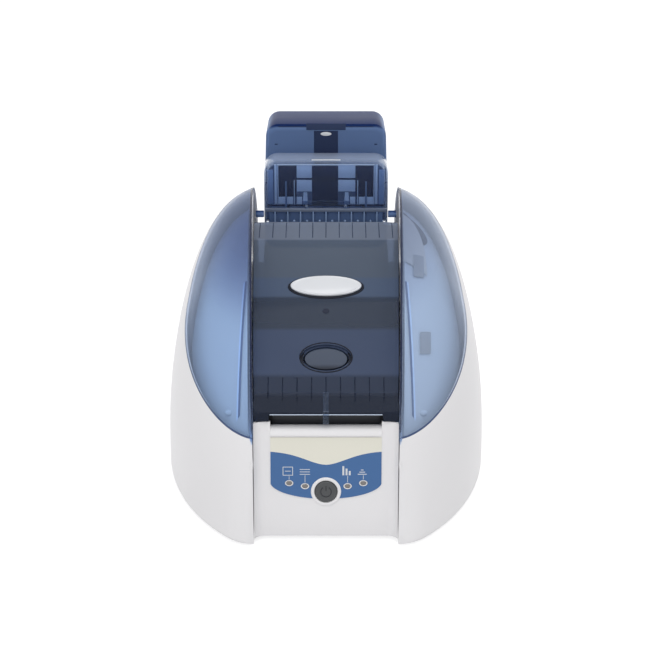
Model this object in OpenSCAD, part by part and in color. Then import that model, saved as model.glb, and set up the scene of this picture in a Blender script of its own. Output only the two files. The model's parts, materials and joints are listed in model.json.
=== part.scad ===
// Desktop printer for plastic identity cards: two curved flanks with see-through
// wings, a hinged hood between them, a card feeder at the rear and the card path
// through the middle. Millimetres. x runs across, y from front to rear, z up.
// The origin is under the middle of the whole machine, on the table.

/* [Overall] */
// Half of the greatest width across both flanks
half_w = 105.6; // [100:0.2:112]
// Greatest height of the flank surface, if it ran on to the middle
crest_h = 171.5; // [168:0.5:180]
// Length of each flank, front to rear
flank_d = 276; // [270:1:282]
// Height of the rubber feet under the flanks
foot_h = 2; // [1.5:0.5:4]

/* [Flanks and wings] */
// Wall of the white side shells and of the blue wings
shell_wall = 2.4; // [1.8:0.2:3.2]
// Half of the gap between the flanks at the front
gap_front = 45.2; // [44.5:0.1:47]
// Half of the gap between the flanks at the hood hinge
gap_rear = 50.2; // [49.5:0.1:52]
// Rounding of the front and rear ends of a flank
nose_r = 6; // [3:0.5:8]
// Backward lean of the front face, in degrees
lean = 10; // [6:1:12]
// Height where the blue wing meets the white shell at the front
seam_z = 67.5; // [62:0.5:72]
// Rise of that seam for each millimetre towards the rear
seam_rise = 0.485; // [0.42:0.005:0.52]
// Space between a wing and the white housing inside it
housing_gap = 5; // [3:0.5:8]

/* [Front panel] */
// Wall of the front panel
panel_wall = 2.6; // [2:0.2:3.4]
// How far the panel lies behind the front of the flanks
panel_recess = 8; // [6:0.5:10]
// Radius of the power button
button_r = 6.9; // [6:0.1:8]
// Travel of the power button
button_travel = 1.5; // [1:0.1:2.5]
// Height of the button's centre along the panel
button_s = 29.7; // [26:0.1:34]
// Half width of the control label
label_half = 35; // [31:0.5:36]

/* [Hood] */
// Wall of the hood
hood_wall = 2.5; // [2:0.1:3.2]
// Depth of the hood's side skirts
skirt = 12; // [9:1:15]
// Depth position of the hood's front edge
hood_front_d = 20; // [19:0.5:24]
// Depth position of the hood's hinge pin
hinge_d = 195; // [193:0.5:196]
// Height of the hood's hinge pin
hinge_z = 137; // [134:0.5:139]
// Radius of the hood's hinge pin
hinge_pin_r = 2; // [1.6:0.1:2.4]
// How much the hood bulges above a straight line
hood_bulge = 15; // [10:0.5:18]
// Half length of the oval hood button
latch_half = 14; // [11:0.5:16]
// Travel of the hood button
latch_travel = 2; // [1:0.1:2.4]

/* [Feeder] */
// Space from the hood's hinge pin to the feeder's front
feeder_gap = 6.5; // [6:0.5:9]
// Length of a card
card_l = 85.6; // [80:0.1:90]
// Width of a card
card_w = 53.98; // [50:0.02:56]
// Half width of the feeder outside
feeder_half = 42.8; // [41.4:0.2:43.4]
// Wall of the feeder
feeder_wall = 2.2; // [1.8:0.1:2.2]
// Height of the feeder's front top edge
feeder_top = 201; // [192:1:204]
// Height where the feeder's lid starts
lid_z = 158; // [150:1:166]
// Free depth left around a card in the feeder
card_play = 0.5; // [0.4:0.1:0.9]

/* [Card path] */
// Height of the card as it moves through the machine
path_z = 80; // [79:0.5:80.5]
// Radius of the rubber drive rollers
roller_r = 6; // [5:0.5:7]
// Radius of every roller shaft
shaft_r = 2.5; // [2:0.1:3]
// Radius of the belt pulleys
pulley_r = 7; // [6:0.5:8]
// Running clearance of shafts in their bores
run_gap = 0.05; // [0.02:0.01:0.08]
// Thickness of the steel side plates
plate_t = 1.5; // [1:0.1:1.6]
// Half of the clear width between the side plates
plate_half = 39.4; // [39:0.1:39.6]

/* [Hidden] */
$fn = 48;
eps = 0.01;
skin_gap = 0.3;

feeder_d = [hinge_d + feeder_gap, hinge_d + feeder_gap + card_l + card_play + 2 * feeder_wall];
total_d = feeder_d[1];

// The flank surface: elliptical in plan and in profile, superelliptic across.
plan_c = 119.5;
plan_f = 141.4;
plan_r = 221.5;
crest_c = 165;
crest_f = 190;
crest_r = 158;
cross_n = 3.17;
cross_m = 2.67;
fullness = 0.8;
lean_reach = 120;
rings = 20;
arcs = 11;
foot_edge = 3;

white = [0.87, 0.87, 0.88];
pale = [0.80, 0.81, 0.83];
blue_clear = [0.36, 0.48, 0.68];
hood_blue = [0.24, 0.29, 0.38];
feeder_blue = [0.30, 0.38, 0.54];
dark = [0.10, 0.11, 0.13];
steel = [0.70, 0.71, 0.73];
rubber = [0.13, 0.13, 0.14];
board_green = [0.10, 0.36, 0.22];

// Moves the depth origin from the front of the machine to its middle.
module placed() translate([0, -total_d / 2, 0]) children();
module mirrored() { children(); mirror([1, 0, 0]) children(); }
// A rod across the machine, centred on x = 0.
module cross_rod(r, length) rotate([0, 90, 0]) cylinder(r = r, h = length, center = true);
// A block from one x to another, with y and z ranges.
module block(x, y, z) translate([x[0], y[0], z[0]]) cube([x[1] - x[0], y[1] - y[0], z[1] - z[0]]);
// An outline drawn in depth and height, given a width across the machine.
module across(half) rotate([90, 0, 90])
    translate([0, 0, -half]) linear_extrude(2 * half) children();

function half_plan(d) = half_w
    * sqrt(max(0, 1 - pow(d < plan_c ? (plan_c - d) / plan_f : (d - plan_c) / plan_r, 2)));
function profile(d) = crest_h
    * sqrt(max(0, 1 - pow(d < crest_c ? (crest_c - d) / crest_f : (d - crest_c) / crest_r, 2)));
function gap_at(d) = gap_front + (gap_rear - gap_front) * min(1, max(0, d) / 190);
function end_inset(a) = a < nose_r ? nose_r - sqrt(nose_r * nose_r - pow(nose_r - a, 2)) : 0;
function seam_at(d) = seam_z + seam_rise * (sqrt(pow(d - 18, 2) + 100) + d - 18) / 2;
// How square the flank's section is at depth d: it fills out towards the rear.
function square_at(d) = cross_n + fullness * min(1, max(0, (d - 120) / 80));
function leaned(d, z) = d + tan(lean) * (z - foot_h) * pow(max(0, 1 - d / lean_reach), 2);

// One ring of the flank at depth d, set in by t from the skin and by s from the gap.
function flank_ring(d, t, s, z0, top_drop) =
    let (inset = t + end_inset(min(d, flank_d - d) - t),
        w = half_plan(d) - inset, h = profile(d) - inset - top_drop,
        xi = gap_at(d) + s,
        crest = max(z0 + 12, h * pow(max(0.02, 1 - pow(min(0.99, xi / w), square_at(d))), 1 / cross_m)),
        side = max(xi + 1.5, w))
    concat([[xi, z0], [side - foot_edge, z0], [side - 0.3 * foot_edge, z0 + 0.3 * foot_edge]],
        [for (k = [0:arcs])
            let (z = z0 + foot_edge + (crest - z0 - foot_edge) * sin(90 * k / arcs),
                x = w * pow(max(0, 1 - pow(min(1, z / h), cross_m)), 1 / square_at(d)))
            [k == arcs ? xi : max(xi + 0.05, x), z]]);

// The solid flank, as rings joined into one closed skin.
module flank(t = 0, s = 0, z0 = foot_h, top_drop = 0) {
    count = arcs + 4;
    grid = [for (i = [0:rings])
        let (d = t + (flank_d - 2 * t) * (1 - cos(180 * i / rings)) / 2)
        for (p = flank_ring(d, t, s, z0, top_drop))
            let (y = leaned(d, p[1]))
            [p[0] == gap_at(d) + s ? gap_at(y) + s : p[0], y, p[1]]];
    walls = [for (i = [0:rings - 1], j = [0:count - 1])
        let (a = i * count + j, b = i * count + (j + 1) % count)
        each [[a, b, a + count], [b, b + count, a + count]]];
    polyhedron(grid, concat(walls, [[for (j = [count - 1:-1:0]) j]],
        [[for (j = [0:count - 1]) rings * count + j]]), convexity = 6);
}

// The region above the seam between shell and wing, with the seam moved by lift.
module above_seam(lift) across(half_w + 5) polygon(concat(
    [[-20, 260], [-20, seam_at(0) + lift]],
    [for (d = [0:15:flank_d + 15]) [d, seam_at(d) + lift]], [[flank_d + 15, 260]]));

module skin() difference() { flank(); flank(shell_wall, shell_wall, foot_h + shell_wall); }

// White lower half of a flank.
module side_shell() resize([0, 0, 0]) difference() { skin(); above_seam(0); }
// See-through blue upper half of a flank.
module wing_cover() resize([0, 0, 0]) intersection() { skin(); above_seam(0); }
// White housing under a wing, closed against the machine's middle.
module inner_housing() resize([0, 0, 0]) intersection() {
    difference() {
        flank(housing_gap + shell_wall, shell_wall + skin_gap, foot_h + 30, 6);
        flank(housing_gap + 2 * shell_wall, 2 * shell_wall + skin_gap, foot_h + 29, 6);
    }
    above_seam(-16);
}

module right_side_shell() color(white) placed() side_shell();
module left_side_shell() mirror([1, 0, 0]) right_side_shell();
module right_wing_cover() color(blue_clear) placed() wing_cover();
module left_wing_cover() mirror([1, 0, 0]) right_wing_cover();
module right_inner_housing() color(pale) placed() inner_housing();
module left_inner_housing() mirror([1, 0, 0]) right_inner_housing();

// Floor between the flanks.
tray_t = 2.4;
tray_front = panel_recess + 3.4;
rear_inset = 3;
rear_t = 2.4;
rear_d0 = flank_d - rear_inset - rear_t;
tray_rear = rear_d0 - skin_gap;
tray_z = foot_h + 1;
tray_top = tray_z + tray_t;
module base_tray() color(white) placed() difference() {
    union() {
        translate([0, 0, tray_z]) linear_extrude(tray_t) polygon([
            for (c = [[-1, tray_front], [1, tray_front], [1, tray_rear], [-1, tray_rear]])
                [c[0] * (gap_at(c[1]) - skin_gap), c[1]]]);
        for (d = board_posts_d) for (s = [-1, 1])
            translate([s * board_post_x, d, tray_top - eps]) cylinder(r = 3, h = board_z - tray_top + eps);
    }
    for (d = [70:8:230]) block([-20, 20], [d, d + 3], [tray_z - 1, tray_top + 1]);
    for (d = plate_screw_d) for (s = [-1, 1])
        translate([s * plate_screw_x, d, tray_z - 1]) cylinder(r = screw_r, h = tray_t + 2);
}
board_d = [118, 222];
board_posts_d = [board_d[0] + 8, board_d[1] - 8];
board_post_x = 32;
board_z = tray_top + 7;
plate_screw_d = [50, 150, 240];
plate_screw_x = plate_half - 5;
screw_r = 1.5;

// Frame lying on the leaning front panel: x across, y into the machine, z up the panel.
panel_foot_z = foot_h + 1;
module on_panel() translate([0, panel_recess, panel_foot_z]) rotate([-lean, 0, 0]) children();
panel_half = gap_front - 0.3;
cove_r = 7;
panel_len = 75.6;
lip_s = 66.7;
notch_half = 34.6;
pillar_top_z = panel_foot_z + panel_len * cos(lean);
lip_r = 4.2;
ring_w = 2.5;
led_at = [[-23, 35.3], [-13.1, 33.3], [13.5, 33.3], [23.3, 35.3]];
led_half = [2.7, 2.0];

// Plan outline of the panel with a cove at each side.
module panel_plan(back) {
    mirrored() difference() {
        translate([panel_half - cove_r, -cove_r]) square([cove_r, cove_r + back]);
        translate([panel_half - cove_r, -cove_r]) circle(r = cove_r, $fn = 64);
    }
    translate([-panel_half + cove_r - eps, 0]) square([2 * (panel_half - cove_r + eps), back]);
}
module front_panel() color(white) placed() on_panel() difference() {
    union() {
        difference() {
            linear_extrude(panel_len) panel_plan(panel_wall);
            block([-notch_half, notch_half], [-cove_r - 1, cove_r + 4], [lip_s, panel_len + 1]);
        }
        translate([0, lip_r - 0.2, lip_s]) cross_rod(lip_r, 2 * notch_half);
        translate([0, panel_wall, button_s]) rotate([90, 0, 0])
            cylinder(r = button_r + ring_w, h = panel_wall + 0.8);
    }
    translate([0, panel_wall + 1, button_s]) rotate([90, 0, 0])
        cylinder(r = button_r + 0.3, h = 2 * panel_wall + 3);
    for (p = led_at) translate([p[0], panel_wall + 1, p[1]]) rotate([90, 0, 0])
        scale([led_half[0], led_half[1], 1]) cylinder(r = 1.02, h = panel_wall + 3);
}

label_t = 0.4;
label_top_s = 65.2;
label_side_s = 36.4;
label_sag = 11.5;
function label_edge(x) = label_side_s - label_sag * sqrt(1 - pow(x / label_half, 2) * 0.98);
module control_label() color([0.29, 0.43, 0.60]) placed() on_panel() difference() {
    rotate([90, 0, 0]) linear_extrude(label_t) polygon(concat(
        [[-label_half, label_top_s], [-label_half, label_side_s]],
        [for (k = [0:24]) let (x = -label_half + label_half * k / 12) [x, label_edge(x)]],
        [[label_half, label_side_s], [label_half, label_top_s]]));
    translate([0, 1, button_s]) rotate([90, 0, 0]) cylinder(r = button_r + 3.4, h = 3);
    for (p = led_at) translate([p[0], 1, p[1]]) rotate([90, 0, 0])
        scale([led_half[0], led_half[1], 1]) cylinder(r = 1.1, h = 3);
}
module indicator_leds() color([0.45, 0.43, 0.42]) placed() on_panel() for (p = led_at)
    translate([p[0], panel_board_y, p[1]]) rotate([90, 0, 0]) {
        scale([led_half[0], led_half[1], 1]) cylinder(r = 1, h = panel_board_y + 0.2);
        cylinder(r = 2, h = panel_board_y - panel_wall);
    }

board_s = [20, 46];
panel_board_y = panel_wall - 0.3 + button_travel;
module panel_board() color(board_green) placed() on_panel() {
    difference() {
        block([-30, 30], [panel_board_y, panel_board_y + 1.6], board_s);
        translate([0, panel_board_y + 3, button_s]) rotate([90, 0, 0]) cylinder(r = button_r - 2, h = 6);
    }
    for (s = [-1, 1]) block([s * 27 - 2, s * 27 + 2], [panel_wall, panel_board_y], [board_s[0], board_s[0] + 6]);
}
// Power button: a round cap with a flange behind the panel.
module power_button() color([0.31, 0.32, 0.33]) placed() on_panel()
    translate([0, panel_wall - 0.4, button_s]) rotate([90, 0, 0])
        cylinder(r = button_r, h = panel_wall + 1.4);
module panel_screws() color(steel) placed() on_panel() for (s = [-1, 1])
    translate([s * 27, panel_board_y + 1.6, board_s[0] + 3]) rotate([-90, 0, 0]) cylinder(r = 2.2, h = 1.6);

// Dark guide in the card exit, with a comb of fingers over the card.
slot_h = 5;
guide_half = 33.5;
guide_d = [28.8, 33.4];
slot_low = path_z - slot_h / 2;
slot_high = path_z + slot_h / 2;
module card_exit_guide() color(dark) placed() {
    block([-guide_half, guide_half], guide_d, [slot_low - 6, slot_low]);
    mirrored() block([guide_half - 4, guide_half], guide_d, [slot_low - eps, slot_high - 0.2]);
    mirrored() block([guide_half - eps, plate_half], [guide_d[1] - 3, guide_d[1]], [slot_low - 6, slot_low]);
    for (k = [-9:9]) block([k * 3 - 0.6, k * 3 + 0.6], [guide_d[0], guide_d[0] + 3], [slot_low - eps, slot_low + 0.5]);
}

// Hood: part of a round tube about an axis across the machine.
hood_front_z = 84.5;
hood_rear_d = hinge_d - 6.5;
hood_rear_z = 142.5;
chord = norm([hood_rear_d - hood_front_d, hood_rear_z - hood_front_z]);
hood_r = (chord * chord / 4 + hood_bulge * hood_bulge) / (2 * hood_bulge);
chord_angle = atan2(hood_rear_z - hood_front_z, hood_rear_d - hood_front_d);
hood_c_d = (hood_front_d + hood_rear_d) / 2 + (hood_r - hood_bulge) * sin(chord_angle);
hood_c_z = (hood_front_z + hood_rear_z) / 2 - (hood_r - hood_bulge) * cos(chord_angle);
function hood_z(d) = hood_c_z + sqrt(hood_r * hood_r - pow(d - hood_c_d, 2));
function hood_slope(d) = asin((hood_c_d - d) / hood_r);
hood_side = 0.8;
rib_len = 20;
module hood_plan(inset, z) translate([0, 0, z]) linear_extrude(120) polygon([
    for (c = [[-1, hood_front_d + inset], [1, hood_front_d + inset],
        [1, hood_rear_d - inset], [-1, hood_rear_d - inset]])
        [c[0] * (gap_at(c[1]) - hood_side - inset), c[1]]]);
module hood_tube(r) translate([0, hood_c_d, hood_c_z])
    rotate([0, 90, 0]) cylinder(r = r, h = 140, center = true, $fn = 200);
// A frame on the hood's skin at depth d: z out of the skin, y up the slope.
module on_hood(d) translate([0, d, hood_z(d)]) rotate([hood_slope(d), 0, 0]) children();

latch_d = 52.5;
latch_ratio = 0.62;
latch_well = latch_travel - 0.2;
latch_deep = 4.4;
badge_d = 107.5;
badge_half = [23, 9.5];
knuckle_x = [44.2, gap_rear - 1.2];
knuckle_r = 5;
module oval(half, ratio, h) scale([half, half * ratio, 1]) cylinder(r = 1, h = h);
module top_cover() color(hood_blue) placed() difference() {
    union() {
        difference() {
            intersection() { hood_plan(0, 60); hood_tube(hood_r); }
            hood_tube(hood_r - skirt);
            intersection() { hood_plan(hood_wall, 59); hood_tube(hood_r - hood_wall); }
        }
        // Ribs under the skin near the hinge and near the card exit.
        for (k = [-4:4]) for (d = [[hood_rear_d - rib_len, hood_rear_d - 1], [hood_front_d + 1, hood_front_d + 1 + rib_len]])
            intersection() {
                block([k * 9 - 0.5, k * 9 + 0.5], d, [60, 160]);
                difference() { hood_tube(hood_r - hood_wall + eps); hood_tube(hood_r - hood_wall - 2.4); }
            }
        intersection() {
            on_hood(latch_d) translate([0, 0, -5]) oval(latch_half + 3.6, latch_ratio, 5);
            hood_tube(hood_r - 0.2);
        }
        for (s = [-1, 1]) translate([s * (knuckle_x[0] + knuckle_x[1]) / 2, 0, 0]) {
            translate([0, hinge_d, hinge_z]) cross_rod(knuckle_r, knuckle_x[1] - knuckle_x[0]);
            block([-(knuckle_x[1] - knuckle_x[0]) / 2, (knuckle_x[1] - knuckle_x[0]) / 2],
                [hood_rear_d - 2, hinge_d], [hinge_z - 4, hinge_z + 3]);
        }
        // Cheeks and pin that carry the latch hook.
        mirrored() intersection() {
            block([7, 9], [hook_d - 8, hook_d + 4], [hook_z - 1.4, hook_z + 30]);
            hood_tube(hood_r - 1);
        }
        translate([0, hook_d, hook_z]) cross_rod(hook_pin_r, 16);
    }
    translate([0, hinge_d, hinge_z]) cross_rod(hinge_pin_r + run_gap, 120);
    block([-notch_half - 0.8, notch_half + 0.8], [hood_front_d - 1, guide_d[1] + 3],
        [slot_low - 20, slot_high + 0.3]);
    block([-60, 60], [hood_front_d - 1, guide_d[1] + 3], [slot_low - 20, pillar_top_z + 0.8]);
    on_hood(latch_d) translate([0, 0, -latch_deep - latch_travel - 0.4]) oval(latch_half + 0.4, latch_ratio, 14);
    on_hood(latch_d) translate([0, 0, -latch_well]) oval(latch_half + 2, latch_ratio, 8);
}
module hood_hinge_pin() color(steel) placed() translate([0, hinge_d, hinge_z]) cross_rod(hinge_pin_r, 2 * knuckle_x[1]);

// Oval badge lying on the curved skin of the hood, left bare.
badge_t = 1.6;
module cover_badge() color([0.80, 0.81, 0.83]) placed() difference() {
    on_hood(badge_d) translate([0, 0, -0.6]) oval(badge_half[0], badge_half[1] / badge_half[0], badge_t + 0.6);
    hood_tube(hood_r);
}
module latch_button() color([0.16, 0.19, 0.26]) placed() on_hood(latch_d) {
    translate([0, 0, -latch_deep]) oval(latch_half, latch_ratio, latch_deep - 0.6);
    translate([-3, -2, -latch_stem]) cube([6, 4, latch_stem - latch_deep + eps]);
}
// Hook that turns under the button and keeps the hood on the latch bar.
hook_d = latch_d - 1;
hook_z = hood_z(hook_d) - 14;
hook_pin_r = 1.2;
hook_tip = 6;
latch_stem = (hood_z(latch_d) - hook_z - 1.9 - 2 * sin(hood_slope(latch_d))) / cos(hood_slope(latch_d));
latch_bar_d = hook_d + 3.2;
latch_bar_z = hook_z - hook_tip + 1.4;
module latch_hook() color([0.75, 0.76, 0.78]) placed() translate([0, hook_d, hook_z]) difference() {
    union() {
        cross_rod(3, 12);
        block([-5, 5], [-3, 0], [-hook_tip, 1]);
        block([-5, 5], [-3, 0.3], [-hook_tip - 1.4, -hook_tip + eps]);
        block([-3, 3], [0, 8], [-1.2, 1.6]);
    }
    cross_rod(hook_pin_r + run_gap, 40);
}

// Ribbed blue bridge between the hood and the feeder.
bridge_d = [hinge_d + 3.6, feeder_d[0]];
bridge_z = [path_z + 16, hinge_z + 10];
module hinge_bridge() color([0.16, 0.23, 0.40]) placed() difference() {
    union() {
        block([-plate_half + skin_gap, plate_half - skin_gap], [bridge_d[0] + 1, bridge_d[1]], bridge_z);
        for (k = [-4:4]) block([k * 8.8 - 0.6, k * 8.8 + 0.6], [bridge_d[0] + 0.2, bridge_d[0] + 2], [bridge_z[0], bridge_z[1] - 1]);
    }
    for (k = [-4:3]) block([k * 8.8 + 1.2, (k + 1) * 8.8 - 1.2], [bridge_d[0], bridge_d[1] - 0.8], [bridge_z[0] + 3, bridge_z[1] - 2]);
}

// Feeder: a tall box for a stack of cards that lie flat, short edge forwards.
gate_rear_d = feeder_d[0] + 20.5;
gate_top = 180.6;
gate_bevel = [5, 2.5];
feeder_floor_z = path_z - 4;
corner_r = 9;
rear_drop = 13.8;
side_draft = 1.4;
feed_mouth_h = 4;
card_half = card_w / 2 + 0.4;
guide_t = 2;
module feeder_walls(d, z, half = feeder_half) block([-half, half], d, z);
module feeder_body() color(feeder_blue) placed() difference() {
    union() {
        feeder_shell();
        mirrored() translate([(lid_barrel_half + skin_gap + feeder_half) / 2, lid_hinge_d, lid_hinge_z])
            cross_rod(lid_barrel_r, feeder_half - lid_barrel_half - skin_gap);
        mirrored() block([card_half, card_half + guide_t], [gate_rear_d, feeder_d[1] - feeder_wall + eps],
            [feeder_floor_z + feeder_wall - eps, lid_z - 6]);
    }
    translate([0, lid_hinge_d, lid_hinge_z]) cross_rod(lid_pin_r, 2 * feeder_half + 2);
}
module feeder_shell() difference() {
    feeder_walls([gate_rear_d, feeder_d[1]], [feeder_floor_z, lid_z]);
    feeder_walls([gate_rear_d - 1, feeder_d[1] - feeder_wall], [feeder_floor_z + feeder_wall, lid_z + 1],
        feeder_half - feeder_wall);
    block([-card_half, card_half], [gate_rear_d - 1, feed_slot_rear], [feeder_floor_z - 1, feeder_floor_z + 5]);
    feed_notch();
    block([-50, 50], [lid_hinge_d, feeder_d[1] + 1], [lid_hinge_z - 3, lid_z + 3]);
    block([-lid_barrel_half - skin_gap, lid_barrel_half + skin_gap], [lid_hinge_d - 2.6, feeder_d[1] + 1],
        [lid_hinge_z - 3, lid_z + 3]);
}
// Clear front of the feeder, with a bevelled top and rounded corners.
module gate_outline(inset) intersection() {
    across(feeder_half - inset) polygon([[feeder_d[0] + inset, feeder_floor_z],
        [feeder_d[0] + inset, gate_top - gate_bevel[1] - inset * 0.8],
        [feeder_d[0] + gate_bevel[0], gate_top - inset], [gate_rear_d, gate_top - inset],
        [gate_rear_d, feeder_floor_z]]);
    translate([0, feeder_d[0] - 1, 0]) rotate([90, 0, 0]) mirror([0, 0, 1]) linear_extrude(40) union() {
        square_half = feeder_half - inset;
        translate([-square_half, 0]) square([2 * square_half, gate_top - inset - 10]);
        translate([-square_half + 10, 0]) square([2 * square_half - 20, gate_top - inset]);
        for (s = [-1, 1]) translate([s * (square_half - 10), gate_top - inset - 10]) circle(r = 10);
    }
}
gate_post_x = 13.5;
module feeder_gate() color([0.45, 0.55, 0.72]) placed() {
    difference() {
        gate_outline(0);
        translate([0, eps, -eps]) gate_outline(feeder_wall);
        block([-feeder_half + feeder_wall, feeder_half - feeder_wall],
            [feeder_d[0] + feeder_wall, gate_rear_d + 1], [feeder_floor_z - 1, feeder_floor_z + 40]);
        block([-card_half, card_half], [feeder_d[0] - 1, gate_rear_d],
            [feeder_floor_z - 1, path_z + feed_mouth_h]);
        for (s = [-1, 1]) translate([s * gate_post_x, feeder_d[0] - 1, hinge_z + 11.5]) rotate([-90, 0, 0])
            cylinder(r = 2.2, h = 5);
    }
    mirrored() block([card_half, card_half + guide_t], [feeder_d[0] + feeder_wall - eps, gate_rear_d - skin_gap],
        [feeder_floor_z + feeder_wall, gate_top - 14]);
}
// Lid: the tall rear part, with a sloping top and rounded corners.
lid_gap = 0.3;
lid_pin_r = 1.2;
lid_barrel_r = 2.2;
lid_barrel_half = 38.2;
lid_hinge_d = feeder_d[1] - lid_barrel_r;
lid_hinge_z = lid_z + lid_gap / 2;
feed_slot_rear = feeder_d[0] + 60.5;
module lid_outline(inset) {
    low = lid_z + lid_gap - (inset > 0 ? 1 : 0);
    intersection() {
        across(feeder_half - inset) polygon([[gate_rear_d + inset, low], [gate_rear_d + inset, feeder_top - inset],
            [feeder_d[1] - inset, feeder_top - rear_drop - inset], [feeder_d[1] - inset, low]]);
        translate([0, gate_rear_d - 1, 0]) rotate([90, 0, 0]) mirror([0, 0, 1]) linear_extrude(100) polygon(concat(
            [[-feeder_half + inset, lid_z - 20], [feeder_half - inset, lid_z - 20]],
            [for (a = [0:15:90]) [feeder_half - inset - side_draft - corner_r * (1 - cos(a)),
                feeder_top - inset - corner_r * (1 - sin(a))]],
            [for (a = [90:15:180]) [-feeder_half + inset + side_draft + corner_r * (1 + cos(a)),
                feeder_top - inset - corner_r * (1 - sin(a))]]));
    }
}
strip_half = 8.3;
module feeder_lid() color(feeder_blue) placed() difference() {
    union() {
        difference() {
            lid_outline(0);
            lid_outline(feeder_wall);
            // Finger groove across the top and the slot that shows the stack.
            block([-32, 32], [gate_rear_d + 4, gate_rear_d + 5], [feeder_top - 12, feeder_top + 2]);
            block([-2.6, 2.6], [gate_rear_d - 1, gate_rear_d + 4], [feeder_top - 7.4, feeder_top - 4]);
            mirrored() translate([(lid_barrel_half + feeder_half) / 2 + 1, lid_hinge_d, lid_hinge_z])
                cross_rod(lid_barrel_r + 0.4, feeder_half - lid_barrel_half + 2);
        }
        block([-strip_half, strip_half], [gate_rear_d + feeder_wall - eps, gate_rear_d + feeder_wall + 1],
            [lid_z + lid_gap, feeder_top - 9]);
        translate([0, lid_hinge_d, lid_hinge_z]) cross_rod(lid_barrel_r, 2 * lid_barrel_half);
    }
    translate([0, lid_hinge_d, lid_hinge_z]) cross_rod(lid_pin_r + run_gap, 100);
}
module feeder_hinge_pin() color(steel) placed() translate([0, lid_hinge_d, lid_hinge_z])
    cross_rod(lid_pin_r, 2 * feeder_half - 0.4);

// Weight that presses the stack down, sliding between the card guides.
weight_z = [feeder_floor_z + 6, feeder_floor_z + 20];
module card_weight() color(dark) placed() difference() {
    block([-card_half + skin_gap, card_half - skin_gap], [feeder_d[0] + 4, feeder_d[1] - 4.6], weight_z);
    block([-18, 18], [feeder_d[0] + 12, feeder_d[1] - 14], [weight_z[0] + 3, weight_z[1] + 1]);
}
// Sliding gauge that sets how thick a card may pass.
module card_gauge() color([0.65, 0.72, 0.80]) placed() translate([0, 0, hinge_z + 11.5]) difference() {
    union() {
        block([-gate_post_x - 3, gate_post_x + 3], [feeder_d[0] + feeder_wall + 0.1, feeder_d[0] + feeder_wall + 1.3],
            [-3, 3]);
        block([-5, 5], [feeder_d[0] + feeder_wall + 0.1, feeder_d[0] + feeder_wall + 1.3],
            [-52, -3 + eps]);
        for (s = [-1, 1]) translate([s * gate_post_x, feeder_d[0] - 2, 0]) rotate([-90, 0, 0])
            cylinder(r = 1, h = feeder_wall + 2.2);
    }
}

// White deck behind the hood that the feeder stands on.
deck_d = [feeder_d[0] - 2, flank_d - rear_inset];
deck_t = 2.4;
// Space for the feed roller's shaft and its bearing tabs under the feeder.
module feed_notch() {
    mirrored() translate([plate_half + 2.6, feed_d, drive_z]) cross_rod(feed_tab_r + 1.5, 6);
    block([-plate_half - 1, plate_half + 1], [feed_d - shaft_r - 0.5, feed_d + shaft_r + 0.5],
        [drive_z - shaft_r - 1, drive_z + shaft_r + 0.5]);
}
feed_tab_r = 6;
module rear_deck() color(white) placed() difference() {
    block([-gap_rear + skin_gap, gap_rear - skin_gap], deck_d, [feeder_floor_z - deck_t, feeder_floor_z]);
    block([-card_half, card_half], [deck_d[0] - 1, feed_slot_rear], [feeder_floor_z - deck_t - 1, feeder_floor_z + 1]);
    mirrored() block([plate_half - skin_gap, gap_rear + 1], [deck_d[0] - 1, deck_d[0] + 2],
        [feeder_floor_z - deck_t - 1, feeder_floor_z + 1]);
    block([plate_half + plate_t + 0.6, pulley_x + pulley_w + 1.2], [deck_d[0] - 1, feed_d + pulley_r + 3],
        [feeder_floor_z - deck_t - 1, feeder_floor_z + 1]);
    feed_notch();
}
inlet_x = -26;
inlet_z = 24;
inlet_r = 5.4;
inlet_depth = 14;
socket_x = 14;
socket_half = [6, 5.4];
socket_wall = 1.6;
module rear_panel() color(white) placed() difference() {
    block([-gap_rear + skin_gap, gap_rear - skin_gap], [rear_d0, rear_d0 + rear_t],
        [tray_z, feeder_floor_z - deck_t]);
    translate([inlet_x, rear_d0 - 1, inlet_z]) rotate([-90, 0, 0]) cylinder(r = inlet_r + skin_gap, h = rear_t + 2);
    block([socket_x - socket_half[0] - skin_gap, socket_x + socket_half[0] + skin_gap], [rear_d0 - 1, rear_d0 + rear_t + 1],
        [inlet_z - socket_half[1] - skin_gap, inlet_z + socket_half[1] + skin_gap]);
    for (k = [-5:5]) block([k * 7 - 1.5, k * 7 + 1.5], [rear_d0 - 1, rear_d0 + rear_t + 1], [44, 62]);
}

// Steel side plates of the card path, with bores for every shaft.
plate_low = tray_top;
plate_high = feeder_floor_z - deck_t;
drive_z = path_z - roller_r - 0.4;
front_drive_d = 40;
platen_d = 122;
rear_drive_d = 172;
feed_d = feeder_d[0] + 38.5;
drive_d = [front_drive_d, platen_d, rear_drive_d, feed_d];
pinch_r = 4;
pinch_shaft_r = 1.5;
pinch_z = path_z + pinch_r + 0.4;
pinch_d = [front_drive_d, rear_drive_d];
clean_r = 5;
clean_d = hinge_d - clean_r;
clean_z = path_z + clean_r + 0.4;
head_reach = 7;
supply_gap = 9;
supply_r = 12;
supply_d = platen_d + head_reach + supply_r + supply_gap;
supply_z = 112;
take_d = 84;
take_z = 98;
spool_shaft_r = 3;
head_pivot_d = 100;
head_pivot_z = 112;
bar_r = 2;
bar_at = [[take_d - 18, 60], [feeder_d[0] + 4.5, 62], [take_d - 24, 24], [latch_bar_d, latch_bar_z]];
motor_d = 96;
motor_z = 38;
plate_d = [front_drive_d - 14, feed_d + 18];
post_half = 4;
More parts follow.
